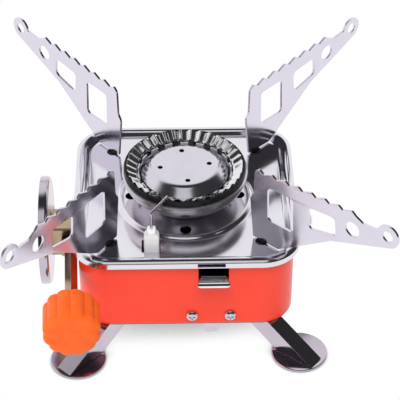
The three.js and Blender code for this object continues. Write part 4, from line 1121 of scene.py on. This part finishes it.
def make_feet(made):
    low, high = -STAND_HEIGHT, -STAND_HEIGHT + FOOT_SHEET
    rim = FOOT_RADIUS - FOOT_EDGE
    profile = [
        (0, low),
        (rim, low),
        *arc((rim, low + FOOT_EDGE), FOOT_EDGE, -90, 0, 4),
        *arc((rim, high - FOOT_EDGE), FOOT_EDGE, 0, 90, 4),
        (0, high),
    ]
    for name, (x, y) in CORNERS.items():
        foot = mesh_object(f"round_foot_{name}", turned(profile, RING_SIDES))
        foot.matrix_world = leg_matrix(name) @ moved(FOOT_REACH, -x * y * FOOT_SHIFT, 0)
        finish_piece(foot, made["leg_steel"], f"{name}_leg", f"foot_{name}")
        leg = copy_of(f"leg_{name}", f"angle_leg_{name}", "leg")
        finish_piece(leg, made["leg_steel"], f"{name}_leg", f"leg_{name}")


def make_knob(made):
    """The knob's rounded lobes, with narrow valleys between them."""
    front = KNOB_BACK - KNOB_LENGTH
    count = KNOB_LOBES * KNOB_LOBE_STEPS

    def ring(inset, y):
        points = []
        for i in range(count):
            angle = 2 * pi * i / count
            valley = 1 - abs(sin(KNOB_LOBES / 2 * angle)) ** KNOB_LOBE_POWER
            reach = KNOB_RADIUS - inset - KNOB_LOBE_DEPTH * valley * (1 - inset / KNOB_LOBE_END)
            points.append((reach * sin(angle), y, reach * cos(angle)))
        return points

    back = [ring(KNOB_BACK_ROUNDING - r, KNOB_BACK - h)
            for r, h in arc((0, KNOB_BACK_ROUNDING), KNOB_BACK_ROUNDING, -90, 0, 5)]
    face = [ring(KNOB_FRONT_ROUNDING - r, front + h)
            for r, h in arc((0, KNOB_FRONT_ROUNDING), KNOB_FRONT_ROUNDING, 0, -90, 6)]
    middle = ring(KNOB_FACE_INSET, front - KNOB_FACE_CROWN)
    grip = mesh_object("lobed_knob", loft([*back, *face, middle]))
    socket_end = KNOB_BACK - KNOB_SOCKET_DEPTH
    carve(grip, [rod(KNOB_SOCKET_RADIUS, KNOB_BACK + OVERRUN, socket_end, KNOB_SOCKET_SIDES, "y")])
    grip.matrix_world = valve_matrix(SPINDLE_LEAN)
    finish_piece(grip, made["orange_plastic"], "valve_knob", "knob", angle=40)


def make_collar(made):
    back = -(VALVE_OUTER + GAP)
    mouth = back - COLLAR_DEPTH
    corners = [(NOZZLE_RADIUS + GAP, back), (COLLAR_RADIUS, back), (COLLAR_RADIUS, mouth)]
    line = rounded_line(corners, COLLAR_ROUNDING, 8)
    cup = mesh_object("collar_cup", turned(sheet_outline(line, -COLLAR_SHEET), TURNED_SIDES, "x"))
    reach = COLLAR_RADIUS - COLLAR_SHEET / 2
    lug = block((mouth, -COLLAR_LUG_WIDTH / 2, reach - COLLAR_LUG_REACH),
                (mouth + COLLAR_SHEET, COLLAR_LUG_WIDTH / 2, reach))
    carve(cup, around(lug, COLLAR_LUGS, "X", COLLAR_LUG_DEGREES), "UNION")
    soften(cup, "cartridge_flange")
    cup.matrix_world = valve_matrix() @ moved(0, COLLAR_SHIFT, 0)
    finish_piece(cup, made["collar_steel"], "body", "cartridge_flange")


def make_valve(made):
    for node, body in (("valve_body", "body"), ("packing_nut", "body"), ("valve_spindle", "valve_knob")):
        piece = copy_of(node, f"{node}_fine", node)
        finish_piece(piece, made["brass"], body, node)


def make_lever(made):
    """The pressed lever: a knurled plate that flares and rolls down into a wider lip."""
    middle = LEVER_Z + LEVER_SHEET / 2
    first, last = LEVER_RIBS
    zone = [(first + (last - first) * i / LEVER_RIB_STEPS, middle) for i in range(LEVER_RIB_STEPS + 1)]
    centre = (LEVER_EDGE + LEVER_BEND, middle - LEVER_BEND)
    line = [(LEVER_BACK, middle), *zone, *arc(centre, LEVER_BEND, 90, 180, 10), (LEVER_EDGE, LEVER_LIP_Z)]
    corner = LEVER_LIP_Z + LEVER_LIP_ROUNDING
    rings = []
    for i, (y, z) in enumerate(line):
        before, after = line[max(i - 1, 0)], line[min(i + 1, len(line) - 1)]
        length = dist(before, after)
        up = ((after[1] - before[1]) / length, (before[0] - after[0]) / length)
        share = max(0.0, (first - y) / (first - LEVER_EDGE))
        width = LEVER_HALF + (LEVER_LIP_HALF - LEVER_HALF) * share ** LEVER_FLARE_POWER
        drop = min(max(0.0, corner - z), LEVER_LIP_ROUNDING)
        width -= LEVER_LIP_ROUNDING - sqrt(LEVER_LIP_ROUNDING ** 2 - drop ** 2)
        rib = sin(2 * pi * (first - y) / LEVER_RIB_PITCH) if last <= y <= first else 0
        rings.append(lever_ring(y, z, up, width, LEVER_RIB_HEIGHT * max(0.0, rib)))
    lever = mesh_object("pressed_lever", loft(rings))
    finish_piece(lever, made["chromed_lever"], "ignition_lever", "igniter_lever", angle=40)


def lever_ring(y, z, up, width, rib):
    """One section across the lever, with studs along its top where it is ribbed."""
    half = LEVER_SHEET / 2
    edge = LEVER_SHEET * LEVER_CHAMFER_SHARE
    curve = edge * LEVER_CHAMFER_ROUNDING_SHARE
    steps = LEVER_STUDS * LEVER_STUD_STEPS
    points = [(-width, half - edge), (-width + curve, half - curve)]
    for i in range(steps + 1):
        share = i / steps
        stud = sin(pi * LEVER_STUDS * share) ** 2
        points.append(((2 * share - 1) * (width - edge), half + rib * stud))
    points += [(width - curve, half - curve), (width, half - edge), (width, -half + edge),
               (width - edge, -half), (-width + edge, -half), (-width, -half + edge)]
    return [(LEVER_X + x, y + up[0] * lift, z + up[1] * lift) for x, lift in points]


def make_bracket(made):
    bracket = copy_of("igniter_bracket", "igniter_bracket_fine", "igniter_bracket")
    finish_piece(bracket, made["zinc_plate"], "body", "igniter_bracket")


def make_screws(made):
    """Screws with a domed head and a cross recess."""
    seat = -BODY_HALF - GAP
    crown = seat - SCREW_HEAD_HEIGHT
    dome = [(SCREW_HEAD_RADIUS * cos(radians(a)), seat - SCREW_HEAD_HEIGHT * sin(radians(a)))
            for a in SCREW_DOME_DEGREES]
    profile = [(0, crown), *dome, (SCREW_HEAD_RADIUS, seat), (SCREW_RADIUS, seat),
               (SCREW_RADIUS, seat + SCREW_LENGTH), (0, seat + SCREW_LENGTH)]
    near, far = crown - OVERRUN, crown + SCREW_CROSS_DEPTH
    long, short = SCREW_CROSS_HALF, SCREW_CROSS_WIDTH / 2
    cross = [block((-x, near, -z), (x, far, z)) for x, z in ((long, short), (short, long))]
    for side, name in ((-1, "left"), (1, "right")):
        screw = mesh_object(f"cross_screw_{name}", turned(profile, SCREW_SIDES, "y"))
        carve(screw, cross)
        soften(screw, "front_screw", angle=40)
        screw.matrix_world = moved(IGNITER_X + side * SCREW_SPREAD, 0, SCREW_Z)
        finish_piece(screw, made["zinc_plate"], "body", f"front_screw_{name}")


def make_ceramic(made):
    shoulder = INSULATOR_TOP - INSULATOR_HEAD_HEIGHT
    right = [
        (INSULATOR_HALF, INSULATOR_BOTTOM),
        (INSULATOR_HALF, shoulder),
        (INSULATOR_HEAD_HALF, shoulder + INSULATOR_SHOULDER),
        (INSULATOR_HEAD_HALF, INSULATOR_TOP),
    ]
    left = [(-x, z) for x, z in reversed(right)]
    outline = rounded_outline([*right, *left], INSULATOR_ROUNDING, 6)
    stem = plate("ceramic_stem", outline, [], INSULATOR_DEPTH, INSULATOR_EDGE)
    stem.matrix_world = moved(INSULATOR_X, INSULATOR_MIDDLE, 0) @ upright()
    finish_piece(stem, made["white_ceramic"], "body", "electrode_insulator", angle=60)


def make_wire(made):
    """The electrode's wire, which rises from the ceramic and turns to the burner."""
    angle = radians(WIRE_TIP_DEGREES)
    tip = Vector((-BAND_TOP_RADIUS * sin(angle), -BAND_TOP_RADIUS * cos(angle), WIRE_Z))
    corner = Vector((INSULATOR_X, INSULATOR_MIDDLE, WIRE_Z))
    low, high = corner - Vector((0, 0, WIRE_BEND)), corner + (tip - corner).normalized() * WIRE_BEND
    path = [Vector((INSULATOR_X, INSULATOR_MIDDLE, INSULATOR_TOP - WIRE_ROOT))]
    for step in range(WIRE_BEND_STEPS + 1):
        t = step / WIRE_BEND_STEPS
        path.append(low * (1 - t) ** 2 + corner * 2 * t * (1 - t) + high * t * t)
    path.append(tip)
    rod_mesh = curve_mesh(
        "electrode_rod", [path], False, dimensions="3D", bevel_depth=WIRE_RADIUS * MM,
        bevel_resolution=4, use_fill_caps=True,
    )
    wire = link("electrode_rod", rod_mesh)
    finish_piece(wire, made["zinc_plate"], "body", "electrode_wire")


def dress_nodes(made):
    """Gives every CAD node that still shows the finish of its slot in the record."""
    slots = {part["node"]: part["material_slot"] for part in frame["record"]["subparts"]}
    for name, node in frame["nodes"].items():
        if not node.hide_render:
            node.data.materials.clear()
            node.data.materials.append(made[slots[name]])


add_camera()
add_world()
add_floor()
add_lamps()
materials = make_materials()
for make in (
    make_body, make_tray, make_bowl, make_band, make_crown, make_ports, make_cap, make_arms, make_feet,
    make_knob, make_collar, make_valve, make_lever, make_bracket, make_screws, make_ceramic, make_wire,
    dress_nodes,
):
    make(materials)
bpy.context.scene.view_settings.view_transform = "Standard"
